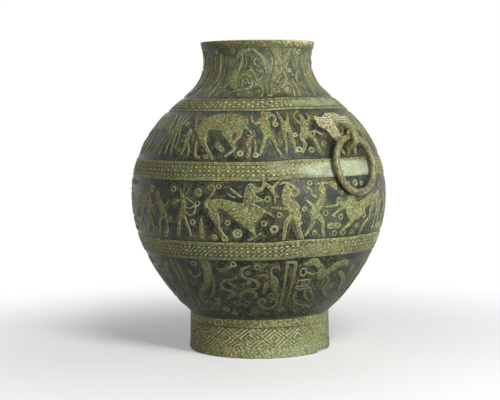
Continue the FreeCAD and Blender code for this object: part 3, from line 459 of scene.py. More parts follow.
# Height of the relief and its colour fields for points on the vessel's skin
def reliefAt(turn, run, radius):
    style = reliefStyle
    scale = radius * pi / 180
    slip = style["slip"] * ease(turn, 2, 20) * (1 - ease(turn, 64, 80))
    figure, spark, cut, fine = (np.full(len(turn), 4.0) for _ in range(4))
    band = np.full(len(turn), 30.0)
    # share of real wear and of painted glare at each point
    wornAndSheen = rubbedAndGlareShare(turn, run)
    for row in bands:
        half = (row["high"] - row["low"]) / 2
        y = run - slip - (row["low"] + row["high"]) / 2
        d = np.abs(y) - half
        band = np.minimum(band, d)
        q, step = lozenges(turn, y, scale, row["count"], row["halfHeight"])
        bright = np.minimum((q - row["core"]) * step, nearest(q, step, (1.0,), 0.16))
        dark = nearest(q, step, (0.7,), row["cut"])
        away = np.abs(y) - row["net"]
        bright, dark = np.maximum(bright, away), np.maximum(dark, away)
        dark = np.minimum(dark, np.abs(away - 0.45) - 0.35)
        # spark: painted glints on the raised lozenges and a painted highlight just inside each band edge
        spark = np.where(d < 0.3, np.minimum(bright, np.maximum(np.abs(d + 0.7) - 0.2, 0.12)), spark)
        cut = np.where(d < 0.3, dark, cut)
    for row in pictures:
        at = np.nonzero((run > row["low"] - 1) & (run < row["high"] + 1))[0]
        if len(at):
            figure[at], fine[at] = drawing(turn[at], run[at] - row["low"], scale[at], row["design"])
    inBand = band < 0.35
    onBand = ease(-band, -0.45, 0.45)
    raised = style["figure"] * ease(-figure, -0.45, 0.5) * (1 - onBand) * (1 - 0.35 * wornAndSheen)
    netting = style["dot"] * ease(-spark, -0.4, 0.4) - style["line"] * ease(-cut, -0.4, 0.4)
    height = style["band"] * onBand + raised + np.where(inBand, netting, 0) * (1 - wornAndSheen)
    # painted shade: a dark line along the foot of each band
    cut = np.minimum(cut, np.abs(band - 0.9) - 0.5)
    figure = np.where(inBand, np.minimum(band, -0.9), figure)
    spark = np.where(inBand, spark, fine)
    cut = np.where(inBand, cut, np.minimum(cut, np.abs(fine - 1.0) - 0.1))
    figure = np.minimum(figure, np.where(band < 1.0, band, 9))
    crust = np.zeros(len(turn))
    return {"height": height, "figure": figure, "spark": spark, "cut": cut, "crust": crust, "wornAndSheen": wornAndSheen}


def pieceFrom(bm, name):
    mesh = bpy.data.meshes.new(name)
    bm.to_mesh(mesh)
    bm.free()
    piece = bpy.data.objects.new(name, mesh)
    bpy.context.collection.objects.link(piece)
    return piece


# A closed turned piece: outer and inner are (radius, height, run) rows that close into one loop
def turnedMesh(name, outer, inner, steps):
    bm = bmesh.new()
    runLayer = bm.verts.layers.float.new("run")
    sideLayer = bm.verts.layers.float.new("side")
    loop = []
    for rows, side in ((outer, 1.0), (inner, 0.0)):
        for r, z, run in rows:
            vert = bm.verts.new((r * mm, 0, z * mm))
            vert[runLayer] = run
            vert[sideLayer] = side
            loop.append(vert)
    edges = [bm.edges.new((a, b)) for a, b in zip(loop, loop[1:] + loop[:1])]
    # one sector is turned, then copied round
    sectors = 20
    sector = 2 * pi / sectors
    bmesh.ops.spin(bm, geom=loop + edges, cent=(0, 0, 0), axis=(0, 0, 1), angle=sector,
                   steps=steps // sectors)
    first = bm.verts[:] + bm.edges[:] + bm.faces[:]
    for i in range(1, sectors):
        copied = bmesh.ops.duplicate(bm, geom=first)["geom"]
        verts = [item for item in copied if isinstance(item, bmesh.types.BMVert)]
        bmesh.ops.rotate(bm, verts=verts, cent=(0, 0, 0), matrix=Matrix.Rotation(i * sector, 3, "Z"))
    bmesh.ops.remove_doubles(bm, verts=bm.verts, dist=2e-6)
    bmesh.ops.recalc_face_normals(bm, faces=bm.faces)
    return pieceFrom(bm, name)


def readPoints(mesh):
    flat = np.empty(len(mesh.vertices) * 3, np.float32)
    mesh.vertices.foreach_get("co", flat)
    return flat.reshape(-1, 3).astype(float) / mm


def readLayer(mesh, name):
    values = np.empty(len(mesh.vertices), np.float32)
    mesh.attributes[name].data.foreach_get("value", values)
    return values.astype(float)


def writePoints(mesh, points):
    mesh.vertices.foreach_set("co", (points * mm).astype(np.float32).ravel())
    mesh.update()


def writeLayer(mesh, name, values):
    layer = mesh.attributes.get(name) or mesh.attributes.new(name, "FLOAT", "POINT")
    layer.data.foreach_set("value", values.astype(np.float32))


def finishPiece(piece, material, body, sharp=70):
    for polygon in piece.data.polygons:
        polygon.use_smooth = True
    piece.data.set_sharp_from_angle(angle=radians(sharp))
    piece.data.materials.append(material)
    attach(piece, body)


def turnOf(points):
    return wrap(np.degrees(np.arctan2(points[:, 1], points[:, 0])) + 90 - viewTurn, 360)


# Slow unevenness of a hand-cleaned casting, the same wherever pieces meet
def unevenness(points):
    x, y, z = points.T
    value = np.sin(x / 23 + 1.3) * np.sin(y / 29 + .4) * np.sin(z / 31 + 2.1)
    return value + 0.5 * np.sin(x / 9.1 + z / 13) * np.sin(y / 11.3 - z / 8.7)


# Fields that the relief's material reads, with their values away from the carving
fieldStart = {"figure": 4.0, "spark": 4.0, "cut": 4.0, "crust": 0.0, "wornAndSheen": 0.0}


def carve(piece):
    mesh = piece.data
    points = readPoints(mesh)
    run, side = readLayer(mesh, "run"), readLayer(mesh, "side")
    turn = turnOf(points)
    radius = np.hypot(points[:, 0], points[:, 1])
    outside = side > 0.5
    height = np.zeros(len(run))
    layers = {name: np.full(len(run), start) for name, start in fieldStart.items()}
    at = np.nonzero(outside)[0]
    found = reliefAt(turn[at], run[at], radius[at])
    height[at] = found["height"] + reliefStyle["uneven"] * unevenness(points[at])
    for name in layers:
        layers[name][at] = found[name]
    lean = np.interp(run, outline[:, 0], outline[:, 3])
    level = np.cos(lean)
    direction = np.stack([points[:, 0] / radius * level, points[:, 1] / radius * level, np.sin(lean)], 1)
    writePoints(mesh, points + direction * height[:, None])
    for name, values in layers.items():
        writeLayer(mesh, name, values)


# Small helpers for the nodes of the materials
def wire(tree, kind, inputs=None, output=0, **settings):
    node = tree.nodes.new(kind)
    for name, value in settings.items():
        setattr(node, name, value)
    for name, value in (inputs or {}).items():
        if isinstance(value, bpy.types.NodeSocket):
            tree.links.new(value, node.inputs[name])
        else:
            node.inputs[name].default_value = value
    return node.outputs[output]


def rgb(r, g, b):
    def linear(c):
        c = c / 255
        return c / 12.92 if c <= 0.04045 else ((c + 0.055) / 1.055) ** 2.4
    return (linear(r), linear(g), linear(b), 1.0)


def blend(tree, factor, a, b):
    return wire(tree, "ShaderNodeMix", {0: factor, 6: a, 7: b}, 2, data_type="RGBA")


def ramp(tree, value, low, high, bottom=0.0, top=1.0):
    inputs = {"Value": value, "From Min": low, "From Max": high, "To Min": bottom, "To Max": top}
    return wire(tree, "ShaderNodeMapRange", inputs, 0, interpolation_type="SMOOTHSTEP")


def maths(tree, operation, a, b=0.0, c=0.0):
    return wire(tree, "ShaderNodeMath", {0: a, 1: b, 2: c}, 0, operation=operation)


def times(tree, a, b):
    return maths(tree, "MULTIPLY", a, b)


def noise(tree, place, scale, detail, roughness):
    inputs = {"Vector": place, "Scale": scale, "Detail": detail, "Roughness": roughness}
    return wire(tree, "ShaderNodeTexNoise", inputs, 0)


def attribute(tree, name):
    return wire(tree, "ShaderNodeAttribute", None, 2, attribute_name=name)


def newMaterial(name):
    material = bpy.data.materials.new(name)
    material.use_nodes = True
    tree = material.node_tree
    bsdf = tree.nodes["Principled BSDF"]
    place = wire(tree, "ShaderNodeTexCoord", None, 3)
    return material, tree, bsdf, place


def plug(tree, bsdf, **values):
    names = {"colour": "Base Color", "rough": "Roughness", "normal": "Normal", "gloss": "Specular IOR Level"}
    for key, value in values.items():
        socket = bsdf.inputs[names[key]]
        if isinstance(value, bpy.types.NodeSocket):
            tree.links.new(value, socket)
        else:
            socket.default_value = value


# edge is the pale tone of painted highlights along rims and ridges
tones = {
    "ground": rgb(30, 32, 23), "groundDark": rgb(12, 13, 9), "groundBlue": rgb(46, 56, 50),
    "groundBrown": rgb(42, 34, 20), "groundPale": rgb(84, 84, 58), "groundNeck": rgb(72, 76, 56),
    "groundLine": rgb(118, 122, 86), "figure": rgb(106, 106, 66), "figureDark": rgb(52, 53, 28),
    "figurePale": rgb(170, 169, 122), "figureGreen": rgb(96, 108, 60), "lowFigure": rgb(52, 50, 28),
    "rust": rgb(104, 76, 44), "edge": rgb(190, 191, 146), "polishAndGlare": rgb(166, 175, 156),
    "polishAndGlareOlive": rgb(150, 151, 110), "crust": rgb(206, 200, 168), "crustBrown": rgb(138, 118, 82)}


# Thin curling lines where a slow noise crosses its middle
def scribble(tree, place, scale, half):
    value = maths(tree, "ABSOLUTE", maths(tree, "SUBTRACT", noise(tree, place, scale, 2, 0.5), 0.5))
    return ramp(tree, value, half, half * 0.3)


def reliefMaterial():
    material, tree, bsdf, place = newMaterial("reliefBronze")
    figure, spark, cut, crust, wornAndSheen = (attribute(tree, name) for name in fieldStart)
    height = wire(tree, "ShaderNodeSeparateXYZ", {0: place}, 2)
    # darker toward the bottom of the body: partly a darker patina, partly painted shade under the belly
    low = times(tree, ramp(tree, height, 0.15, 0.07), ramp(tree, height, 0.044, 0.05))
    neck = ramp(tree, height, 0.286, 0.31)
    grain = noise(tree, place, 520, 3, 0.75)
    fine = noise(tree, place, 1500, 2, 0.6)
    speck = noise(tree, place, 330, 2, 0.6)
    patch = noise(tree, place, 38, 4, 0.6)
    wide = noise(tree, place, 12, 2, 0.5)
    tint = noise(tree, place, 70, 3, 0.6)
    curls = scribble(tree, place, 150, 0.035)
    ground = blend(tree, ramp(tree, patch, 0.38, 0.6), tones["groundDark"], tones["ground"])
    ground = blend(tree, ramp(tree, wide, 0.46, 0.64, 0, 0.85), ground, tones["groundBlue"])
    ground = blend(tree, ramp(tree, tint, 0.5, 0.68, 0, 0.8), ground, tones["groundBrown"])
    ground = blend(tree, times(tree, neck, 0.65), ground, tones["groundNeck"])
    # painted shade and darker patina on the ground low on the body
    ground = blend(tree, times(tree, low, 0.85), ground, tones["groundDark"])
    faint = ramp(tree, neck, 0, 1, 0.5, 0.8)
    stretches = times(tree, faint, ramp(tree, tint, 0.36, 0.56))
    ground = blend(tree, times(tree, curls, stretches), ground, tones["figure"])
    ground = blend(tree, ramp(tree, speck, 0.54, 0.7, 0, 0.6), ground, tones["groundPale"])
    metal = blend(tree, ramp(tree, speck, 0.34, 0.56), tones["figureDark"], tones["figure"])
    metal = blend(tree, ramp(tree, patch, 0.44, 0.62, 0, 0.7), metal, tones["figureGreen"])
    metal = blend(tree, ramp(tree, tint, 0.52, 0.66, 0, 0.65), metal, tones["rust"])
    metal = blend(tree, ramp(tree, grain, 0.5, 0.62, 0, 0.85), metal, tones["figurePale"])
    metal = blend(tree, times(tree, curls, 0.6), metal, tones["figureDark"])
    # painted shade and darker patina on the figures low on the body
    metal = blend(tree, times(tree, low, 0.7), metal, tones["lowFigure"])
    # ragged edge of each figure
    ragged = maths(tree, "ADD", figure, maths(tree, "MULTIPLY_ADD", grain, 2.2, -1.1))
    figureShare = ramp(tree, ragged, 0.35, -0.4, 0, ramp(tree, patch, 0.3, 0.5, 0.65, 1.0))
    figureShare = times(tree, figureShare, ramp(tree, neck, 0, 1, 1.0, 0.75))
    # a pale rim along each figure's edge, a painted highlight
    rimHighlight = maths(tree, "ABSOLUTE", maths(tree, "ADD", ragged, 0.25))
    rimHighlight = times(tree, ramp(tree, rimHighlight, 0.55, 0.1), ramp(tree, patch, 0.38, 0.56, 0.5, 0.0))
    rimHighlight = times(tree, rimHighlight, ramp(tree, low, 0, 1, 1.0, 0.4))
    # thin lines that echo each figure on the ground, found in stretches
    echo = maths(tree, "ABSOLUTE", maths(tree, "SUBTRACT", maths(tree, "PINGPONG", ragged, 0.85), 0.45))
    echo = times(tree, ramp(tree, echo, 0.34, 0.12), ramp(tree, ragged, 0.5, 0.9))
    echo = times(tree, echo, times(tree, ramp(tree, ragged, 3.9, 3.3), ramp(tree, tint, 0.4, 0.56)))
    shy = times(tree, ramp(tree, neck, 0, 1, 0.3, 0.7), ramp(tree, low, 0, 1, 1.0, 0.5))
    echo = times(tree, echo, shy)
    ground = blend(tree, echo, ground, tones["groundLine"])
    colour = blend(tree, figureShare, ground, metal)
    colour = blend(tree, rimHighlight, colour, tones["edge"])
    clean = ramp(tree, wornAndSheen, 0.1, 0.62, 1.0, 0.0)
    # dark lines and bright lozenges, broken up by wear; the bright marks are painted glints on the raised
    # net and band edges
    broken = times(tree, clean, ramp(tree, grain, 0.38, 0.54, 0.3, 1.0))
    groove = times(tree, ramp(tree, cut, 0.4, -0.15), times(tree, broken, 0.85))
    colour = blend(tree, groove, colour, tones["groundDark"])
    glintDots = times(tree, ramp(tree, spark, 0.35, -0.15), broken)
    glintDots = times(tree, glintDots, ramp(tree, low, 0, 1, 0.9, 0.5))
    colour = blend(tree, glintDots, colour, tones["edge"])
    # a pale bluish sheen over the rubbed patches: partly real polish, partly painted glare
    polishAndGlare = times(tree, ramp(tree, wornAndSheen, 0.35, 1.0), ramp(tree, patch, 0.34, 0.6, 0.3, 0.85))
    polishAndGlare = times(tree, polishAndGlare, ramp(tree, grain, 0.36, 0.6, 0.55, 1.0))
    polishAndGlareTone = blend(tree, ramp(tree, patch, 0.52, 0.66), tones["polishAndGlare"], tones["polishAndGlareOlive"])
    colour = blend(tree, polishAndGlare, colour, polishAndGlareTone)
    flakes = maths(tree, "ADD", speck, times(tree, tint, 0.5))
    crusty = times(tree, crust, ramp(tree, flakes, 0.56, 0.86))
    crustTone = blend(tree, ramp(tree, grain, 0.42, 0.6), tones["crustBrown"], tones["crust"])
    colour = blend(tree, crusty, colour, crustTone)
    rough = ramp(tree, ragged, 0.3, -0.3, 0.36, 0.54)
    rough = maths(tree, "ADD", rough, maths(tree, "MULTIPLY_ADD", grain, 0.24, -0.12))
    relief = ramp(tree, ragged, 0.3, -0.3, 0.4, 1.1)
    relief = maths(tree, "MULTIPLY_ADD", grain, relief, times(tree, fine, 0.3))
    normal = wire(tree, "ShaderNodeBump", {"Strength": 0.7, "Distance": 0.0007, "Height": relief})
    plug(tree, bsdf, colour=colour, rough=rough, normal=normal, gloss=0.22)
    return material


def plainMaterial(name, dark, middle, pale, rough, bump=0.0004, scale=700):
    material, tree, bsdf, place = newMaterial(name)
    grain = noise(tree, place, scale, 4, 0.65)
    patch = noise(tree, place, 60, 3, 0.6)
    colour = blend(tree, ramp(tree, patch, 0.36, 0.64), dark, middle)
    colour = blend(tree, ramp(tree, grain, 0.4, 0.64, 0, 0.8), colour, pale)
    normal = wire(tree, "ShaderNodeBump", {"Strength": 0.6, "Distance": bump, "Height": grain})
    rough = maths(tree, "MULTIPLY_ADD", grain, 0.3, rough - 0.15)
    plug(tree, bsdf, colour=colour, rough=rough, normal=normal, gloss=0.5)
    return material


# The vessel: its skin in four turned strips, by the number of steps round, and the seams between them
stripSteps = {"lowerRegister": 860, "middleRegister": 920, "upperRegister": 920, "neckRegister": 620}
seams = [vessel["footHeight"]] + [row["low"] - 1.2 for row in bands] + [outline[-1, 0]]
stripStyle = {"cell": 0.92, "backCell": 14, "backTop": 338.0, "depth": 1.7}

relief = reliefMaterial()


def stripRows(low, high, cell, inset=0.0, reverse=False):
    runs = np.linspace(low, high, max(2, round((high - low) / cell) + 1))
    if reverse:
        runs = runs[::-1]
    r, z = skinPoint(runs, inset)
    return list(zip(r, z, runs))


# The lip and the top of the mouth, from the skin's end at lipRoot over the edge and down inside
def lipRows(lipRoot, end):
    v = vessel
    top, lipBottom = v["height"], v["height"] - v["lipHeight"]
    edge, mouth = lipRoot + v["lipStep"], v["neck"] - v["wall"]
    face = [(edge + v["lipFlare"] * t, lipBottom + v["lipHeight"] * t) for t in np.linspace(0, 0.9, 10)]
    corner = [(edge + v["lipFlare"] - .3, top - .3), (edge + v["lipFlare"] - 1.1, top)]
    flat = [(r, top) for r in np.linspace(edge + .2, mouth + .6, 5)]
    down = [(mouth, z) for z in (top - .6, 358, 354, 350, 345, 340)]
    return [(lipRoot, lipBottom, end)] + [(r, z, end + 1) for r, z in face + corner + flat + down]


def buildStrips():
    v = vessel
    for (name, steps), low, high in zip(stripSteps.items(), seams, seams[1:]):
        cell = stripStyle["cell"] * 1
        steps = steps
        outer = stripRows(low, high, cell)
        inner = stripRows(low, high, stripStyle["backCell"], stripStyle["depth"], True)
        if name == "neckRegister":
            outer = outer[:-1] + lipRows(outer[-1][0], high)
            inner = [row for row in inner if row[1] < stripStyle["backTop"]]
            inner = [(v["neck"] - stripStyle["depth"], stripStyle["backTop"] + 2, high)] + inner
        piece = turnedMesh(name, outer, inner, steps)
        if name == "neckRegister":
            carveLip(piece)
        carve(piece)
        if name == "neckRegister":
            dressLip(piece)
        finishPiece(piece, relief, "vase")
        print("built", name, len(piece.data.vertices))


# The lip keeps its own form: only the rows below it take the relief
def carveLip(piece):
    mesh = piece.data
    run, side = readLayer(mesh, "run"), readLayer(mesh, "side")
    side[run > outline[-1, 0] + 0.5] = 0.0
    writeLayer(mesh, "side", side)


# Turns and heights over which the lip's crust fades in or out, and the heights of its painted glint along
# the top and its painted shadow line lower down
lipStyle = {"crustStart": (26, 34), "crustEnd": (74, 80), "crustFoot": (353.0, 356.5),
            "edge": (359.4, 359.9), "glint": 359.7, "shadow": 353.4}


# Plain greenish lip with a pale crusted top edge that carries a painted highlight, a painted shadow line
# lower down, and a patch of pale crust toward the right
def dressLip(piece):
    style = lipStyle
    mesh = piece.data
    points = readPoints(mesh)
    lip = readLayer(mesh, "run") > outline[-1, 0] + 0.5
    turn, z = turnOf(points), points[:, 2]
    ragged = 1.2 * np.sin(turn * 0.9) + 0.8 * np.sin(turn * 2.3 + 1)
    crust = ease(turn, *style["crustStart"]) * (1 - ease(turn, *style["crustEnd"]))
    crust = crust * ease(z + ragged, *style["crustFoot"]) + 0.3 * ease(z, *style["edge"])
    looks = {"figure": np.full(len(z), -2.4), "spark": np.abs(z - style["glint"]) - 0.4,
             "cut": np.maximum(np.abs(z - style["shadow"]) - 2.6, 0.14), "crust": crust,
             "wornAndSheen": np.full(len(z), 0.15)}
    for name, look in looks.items():
        values = readLayer(mesh, name)
        writeLayer(mesh, name, np.where(lip, look, values))


footStyle = {"cell": 0.8, "count": 18, "turn": -8.0, "steps": 640, "groove": 44.6,
             "pitTurn": -2.4, "pitHeight": 24.6, "pitRadius": 4.2, "chipTurn": 108 - viewTurn}
# Depth of the chip out of the lower edge, by millimetres round from its turn
chipPlace = [-16, -12, -8, -3, 2, 7, 13, 18]
chipDepth = [0, 3.1, 4.4, 3.2, 2.6, 1.4, .8, 0]


def buildFoot():
    v = vessel
    high = v["footHeight"]
    mouldLow = high - v["footMoulding"]
    cell = footStyle["cell"] * 1
    zs = np.linspace(0.6, high, round(high / cell))
    foot, bore, roof = v["foot"], v["foot"] - v["footWall"], v["floor"] - 4
    outer = [(foot - 3.6, 0.0, 0.0), (foot + v["footFlare"] - .6, 0.0, 0.0)]
    outer += [(foot + v["footFlare"] * (1 - z / high), z, z) for z in zs]
    inner = [(r, high + .5, 0) for r in (foot - 1, 30, 0.02)] + [(r, roof, 0) for r in (0.02, 30, 60)]
    inner += [(bore - 5 + 5 * sin(t), roof - 5 + 5 * cos(t), 0) for t in (0, .5, 1.0, pi / 2)]
    inner += [(bore, z, 0) for z in (34, 24, 14, 5, .8)] + [(bore + .6, 0, 0)]
    piece = turnedMesh("footRing", outer, inner, footStyle["steps"] // (1))
    mesh = piece.data
    points = readPoints(mesh)
    run, side = readLayer(mesh, "run"), readLayer(mesh, "side")
    turn = turnOf(points)
    radius = np.hypot(points[:, 0], points[:, 1])
    z = points[:, 2].copy()
    wall = (side > 0.5) & (z > 0.3)
    middle, half = (v["footBase"] + mouldLow) / 2, (mouldLow - v["footBase"]) / 2
    scale = np.full(len(z), foot * pi / 180)
    q, step = lozenges(turn - footStyle["turn"], z - middle, scale, footStyle["count"], half - 0.4)
    net = np.minimum(nearest(q, step, (0.8, 0.42), 1.1), (q - 0.1) * step)
    inPanel = ease(half - np.abs(z - middle), -0.3, 0.5)
    wornAndSheen = 0.1 + 0.22 * unevenness(points) + 0.32 * ease(turn, 18, 40) * (1 - ease(turn, 76, 90))
    wornAndSheen += 0.25 * ease(14 - z, -2, 4)
    pitTurn = wrap(turn - footStyle["pitTurn"], pictureTurn)
    pit = np.hypot(pitTurn * scale, (z - footStyle["pitHeight"]) * 1.2) - footStyle["pitRadius"]
    push = inPanel * (-0.8 + 0.8 * ease(-net, -0.5, 0.45)) + 0.18 * unevenness(points * 1.7)
    # a ragged base, a groove under the join with the bowl, a pit and a chip out of the lower edge
    rags = 0.5 * np.sin(turn / 3.1) * np.sin(turn / 7.7 + z / 3) + 0.25 * np.sin(turn * 1.9 + z)
    push += np.where(z < v["footBase"], rags, 0)
    push -= 0.5 * np.exp(-((z - footStyle["groove"]) / 0.8) ** 2) + 0.7 * ease(-pit, -0.5, 1.5)
    new = points.copy()
    shove = np.where(wall, push, 0)
    new[:, :2] += points[:, :2] / np.maximum(radius, 1)[:, None] * shove[:, None]
    chipTurn = wrap(turn - footStyle["chipTurn"], 360) * scale
    chip = np.interp(chipTurn, chipPlace, chipDepth)
    chip += np.where(chip > 0, 0.35 * np.sin(chipTurn * 2.3), 0)
    low = (radius > bore - 1) & (z < 12)
    new[:, 2] = np.where(low, z + np.maximum(chip, 0) * (1 - z / 12), new[:, 2])
    writePoints(mesh, new)
    panel = wall & (inPanel > 0.5)
    writeLayer(mesh, "figure", np.full(len(z), -1.5))
    # spark: painted glints on the ridges of the net
    writeLayer(mesh, "spark", np.where(panel, np.maximum(net + 0.7, 0.06), 4.0))
    groove = np.where(panel, np.maximum(0.3 - net, 0.12), np.abs(z - mouldLow - 0.5) - 0.5)
    # painted shade: a dark line in the groove under the join with the bowl
    groove = np.minimum(groove, np.abs(z - high + 0.8) - 1.0)
    groove = np.minimum(groove, np.maximum(np.abs(pit + 0.6) - 0.9, 0.0))
    writeLayer(mesh, "cut", np.where(wall, groove, 4.0))
    writeLayer(mesh, "crust", 0.12 * wall * ease(13 - z, -2, 3))
    writeLayer(mesh, "wornAndSheen", np.clip(wornAndSheen, 0, 0.58) * wall)
    finishPiece(piece, relief, "vase")
    print("built foot", len(mesh.vertices))


coreStyle = {"low": 47.0, "cavity": 57.0, "cell": 5, "depth": 1.4,
             "floor": ((86, 55), (80, 52.2), (72, 50.4), (62, 50), (30, 50), (.02, 50),
                       (.02, 45.9), (40, 45.9), (78, 45.9))}


# The cavity, its rounded floor and the wall behind the pictures
def buildCore():
    v = vessel
    high = runAt(stripStyle["backTop"])
    outer = stripRows(coreStyle["low"], high, coreStyle["cell"], coreStyle["depth"])
    cavity = stripRows(runAt(coreStyle["cavity"]), high, coreStyle["cell"], v["wall"], True)
    floor = [(r, z, 0) for r, z in coreStyle["floor"]]
    piece = turnedMesh("vaseCore", outer, cavity + floor, 120)
    finishPiece(piece, insideBronze, "vase")
    print("built core", len(piece.data.vertices))


insideBronze = plainMaterial("insideBronze", rgb(38, 36, 26), rgb(66, 64, 46), rgb(92, 90, 66), 0.7)
ringTones = rgb(48, 44, 22), rgb(80, 75, 42), rgb(140, 136, 92)
ringBronze = plainMaterial("ringBronze", *ringTones, rough=0.36, bump=0.0003, scale=420)

buildCore()
buildFoot()
buildStrips()
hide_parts("vase_body")

# Rings and lugs; the pivot is the middle of the wire in the lug's eye
handle = {"curve": 31.0, "wire": 3.9, "pivotHeight": 250.488, "pivotRadius": 140.356,
          "lean": radians(12.6995), "slope": 31.0, "around": 168, "across": 30}


def buildRing(side):
    h = handle
    bm = bmesh.new()
    bmesh.ops.create_circle(bm, segments=h["across"], radius=h["wire"] * mm)
    bmesh.ops.rotate(bm, verts=bm.verts, cent=(0, 0, 0), matrix=Matrix.Rotation(pi / 2, 3, "X"))
    bmesh.ops.translate(bm, verts=bm.verts, vec=(h["curve"] * mm, 0, 0))
    bmesh.ops.spin(bm, geom=bm.verts[:] + bm.edges[:], cent=(0, 0, 0), axis=(0, 0, 1), angle=2 * pi,
                   steps=h["around"], use_merge=True)
    bmesh.ops.recalc_face_normals(bm, faces=bm.faces)
    # a slightly uneven wire
    for vert in bm.verts:
        turn = atan2(vert.co.y, vert.co.x)
        centre = Vector((cos(turn), sin(turn), 0)) * h["curve"] * mm
        off = vert.co - centre
        swell = 1 + 0.02 * sin(3 * turn + .6) + 0.012 * sin(7 * turn + off.z * 900)
        vert.co = centre + off * min(swell, 1.02)
    bmesh.ops.transform(bm, verts=bm.verts, matrix=Matrix.Rotation(pi / 2, 4, "Y"))
    down = Vector((sin(h["lean"]), 0, -cos(h["lean"])))
    out = Vector((cos(h["lean"]), 0, sin(h["lean"])))
    across = Vector((0, 1, 0))
    place = Matrix((out, across, -down)).transposed().to_4x4()
    place.translation = (Vector((h["pivotRadius"], 0, h["pivotHeight"])) + down * h["curve"]) * mm
    bmesh.ops.transform(bm, verts=bm.verts, matrix=place)
    if side == "left":
        bmesh.ops.rotate(bm, verts=bm.verts, cent=(0, 0, 0), matrix=Matrix.Rotation(pi, 3, "Z"))
    piece = pieceFrom(bm, "ring_" + side)
    finishPiece(piece, ringBronze, "ring_" + side)
    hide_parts("ring_handle_" + side)


# The masks: a copy of the solid, evenly meshed, with scrolls, brow ridges and feathers cut into its face
maskStyle = {"cell": 0.56, "cut": 0.5, "behind": 10.0, "middle": 12.0, "eye": (12.2, -2.0), "eyeReach": 7.5,
             "clear": 11.0, "feathers": 26, "browStep": 3.4, "scrollStep": 2.9}


def buildMask(side):
    turn = 0 if side == "right" else pi
    bm = bmesh.new()
    bm.from_mesh(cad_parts["mask_lug_" + side].data)
    bmesh.ops.remove_doubles(bm, verts=bm.verts, dist=1e-6)
    piece = pieceFrom(bm, "mask_" + side)
    even = piece.modifiers.new("even", "REMESH")
    even.mode = "VOXEL"
    even.voxel_size = maskStyle["cell"] * mm * 1
    bpy.context.view_layer.update()
    graph = bpy.context.evaluated_depsgraph_get()
    mesh = bpy.data.meshes.new_from_object(piece.evaluated_get(graph))
    piece.modifiers.clear()
    piece.data = mesh
    points = readPoints(mesh)
    normals = np.empty(len(points) * 3, np.float32)
    mesh.vertices.foreach_get("normal", normals)
    normals = normals.reshape(-1, 3).astype(float)
    # place on the face: across, and up the skin from the plate's middle
    style = maskStyle
    x = points[:, 0] * cos(turn)
    across = np.abs(points[:, 1])
    lean = radians(handle["slope"])
    middle = (handle["pivotRadius"] - style["behind"], handle["pivotHeight"])
    up = -(x - middle[0]) * sin(lean) + (points[:, 2] - middle[1]) * cos(lean) - style["middle"]
    eye = np.hypot(across - style["eye"][0], up - style["eye"][1])
    angle = np.arctan2(up + 16, across + 2)
    feathers = np.sin(angle * style["feathers"] + 0.05 * across)
    brow = np.sin((up - 0.012 * (across - 14) ** 2) * 2 * pi / style["browStep"])
    scroll = np.sin(eye * 2 * pi / style["scrollStep"] + 0.8)
    cutting = np.where(eye < style["eyeReach"], scroll, np.where(up > 8 - 0.1 * across, brow, feathers))
    outward = normals[:, 0] * cos(turn) * cos(lean) + normals[:, 2] * sin(lean)
    fromRing = np.hypot(x - handle["pivotRadius"], points[:, 2] - handle["pivotHeight"])
    clear = style["clear"]
    depth = ease(outward, 0.25, 0.7) * ease(fromRing, clear, clear + 3) * ease(across, 4.5, 6.5)
    push = style["cut"] * (0.6 * cutting - 0.4) * depth
    writePoints(mesh, points + normals * push[:, None])
    crust = 0.62 * np.maximum(ease(across, 4.5, 6.0), ease(fromRing, 16, 22))
    # spark: painted glints on the ridges between the cuts
    layers = {"figure": np.full(len(x), -1.5), "spark": np.where(depth > 0.3, 0.45 - cutting * 0.9, 0.4),
              "cut": np.where(depth > 0.3, 0.3 + cutting * 0.9, 4.0), "crust": crust,
              "wornAndSheen": np.full(len(x), 0.25)}
    for name, values in layers.items():
        writeLayer(mesh, name, values)
    finishPiece(piece, relief, "vase")
    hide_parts("mask_lug_" + side)
    print("built mask", side, len(mesh.vertices))


for side in ("right", "left"):
    buildRing(side)
    buildMask(side)
print("built rings")

# Floor, light and camera


# 1 for rays straight from the camera, off a shiny surface or through glass
def seenShare(tree):
    path = tree.nodes.new("ShaderNodeLightPath")
    bent = maths(tree, "MAXIMUM", path.outputs["Is Glossy Ray"], path.outputs["Is Transmission Ray"])
    return maths(tree, "MAXIMUM", path.outputs["Is Camera Ray"], bent)


floorMaterial, tree, bsdf, place = newMaterial("paleFloor")
plug(tree, bsdf, colour=(0.86, 0.86, 0.85, 1), rough=0.85)
# away from the vase the camera sees plain white
far = wire(tree, "ShaderNodeVectorMath", {0: place}, 1, operation="LENGTH")
white = wire(tree, "ShaderNodeEmission", {"Color": (1, 1, 1, 1), "Strength": 1.0})
share = times(tree, seenShare(tree), ramp(tree, far, 0.16, 0.6, 0.25, 1.0))
mixed = wire(tree, "ShaderNodeMixShader", {0: share, 1: bsdf.outputs[0], 2: white})
tree.links.new(mixed, tree.nodes["Material Output"].inputs["Surface"])
bm = bmesh.new()
bmesh.ops.create_grid(bm, x_segments=1, y_segments=1, size=6)
floor = pieceFrom(bm, "floor")
floor.data.materials.append(floorMaterial)

world = bpy.data.worlds.new("studio")
bpy.context.scene.world = world
world.use_nodes = True
tree = world.node_tree
background = tree.nodes["Background"]
sky = blend(tree, seenShare(tree), (0.09, 0.092, 0.095, 1), (1, 1, 1, 1))
tree.links.new(sky, background.inputs["Color"])
background.inputs["Strength"].default_value = 1.0

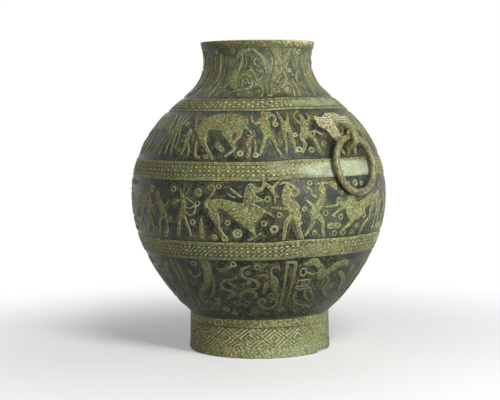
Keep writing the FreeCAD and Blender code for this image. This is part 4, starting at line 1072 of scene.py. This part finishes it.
camera = {"turn": viewTurn, "far": 1536.0, "eye": 289.0, "pitch": 4.27, "yaw": 0.38, "roll": 0.49,
          "lens": 93.6}


def viewAxes():
    c = camera
    ahead = Vector((-sin(radians(c["yaw"])), cos(radians(c["yaw"])), 0))
    up = Vector((0, 0, 1))
    look = ahead * cos(radians(c["pitch"])) - up * sin(radians(c["pitch"]))
    over = ahead * sin(radians(c["pitch"])) + up * cos(radians(c["pitch"]))
    axes = Matrix((look.cross(over), over, -look)).transposed().to_4x4()
    axes = axes @ Matrix.Rotation(-radians(c["roll"]), 4, "Z")
    axes.translation = Vector((0, -c["far"], c["eye"])) * mm
    return Matrix.Rotation(radians(c["turn"]), 4, "Z") @ axes


cameraData = bpy.data.cameras.new("view")
cameraData.lens = camera["lens"]
cameraData.sensor_width = 36
cameraData.clip_start = 0.05
view = bpy.data.objects.new("view", cameraData)
view.matrix_world = viewAxes()
bpy.context.collection.objects.link(view)
bpy.context.scene.camera = view


def softLight(name, turn, height, far, size, power, tone, mirrored):
    data = bpy.data.lights.new(name, "AREA")
    data.shape = "RECTANGLE"
    data.size, data.size_y = size
    data.energy = power
    data.color = tone
    lamp = bpy.data.objects.new(name, data)
    angle = radians(camera["turn"] + turn)
    spot = Vector((sin(angle) * far, -cos(angle) * far, height))
    aim = Vector((0, 0, 0.2)) - spot
    lamp.rotation_euler = aim.to_track_quat("-Z", "Y").to_euler()
    lamp.location = spot
    lamp.visible_glossy = mirrored
    bpy.context.collection.objects.link(lamp)


# name, turn from the camera, height, distance, size, power, tone, seen in shiny metal
lights = [("key", 22, 1.5, 1.3, (0.55, 0.55), 18, (1, 0.985, 0.92), True),
          ("glow", 41, 0.5, 1.4, (0.2, 0.6), 19, (0.95, 0.98, 1), True),
          ("fill", -70, 0.9, 2.0, (1.4, 1.4), 0.5, (1, 1, 1), False),
          ("side", 80, 0.8, 1.8, (0.8, 1.2), 2, (1, 1, 1), False),
          ("back", 190, 0.5, 1.8, (1.0, 0.8), 10, (1, 1, 1), False)]
for light in lights:
    softLight(*light)
print("built lights")

bpy.context.scene.view_settings.view_transform = "Standard"
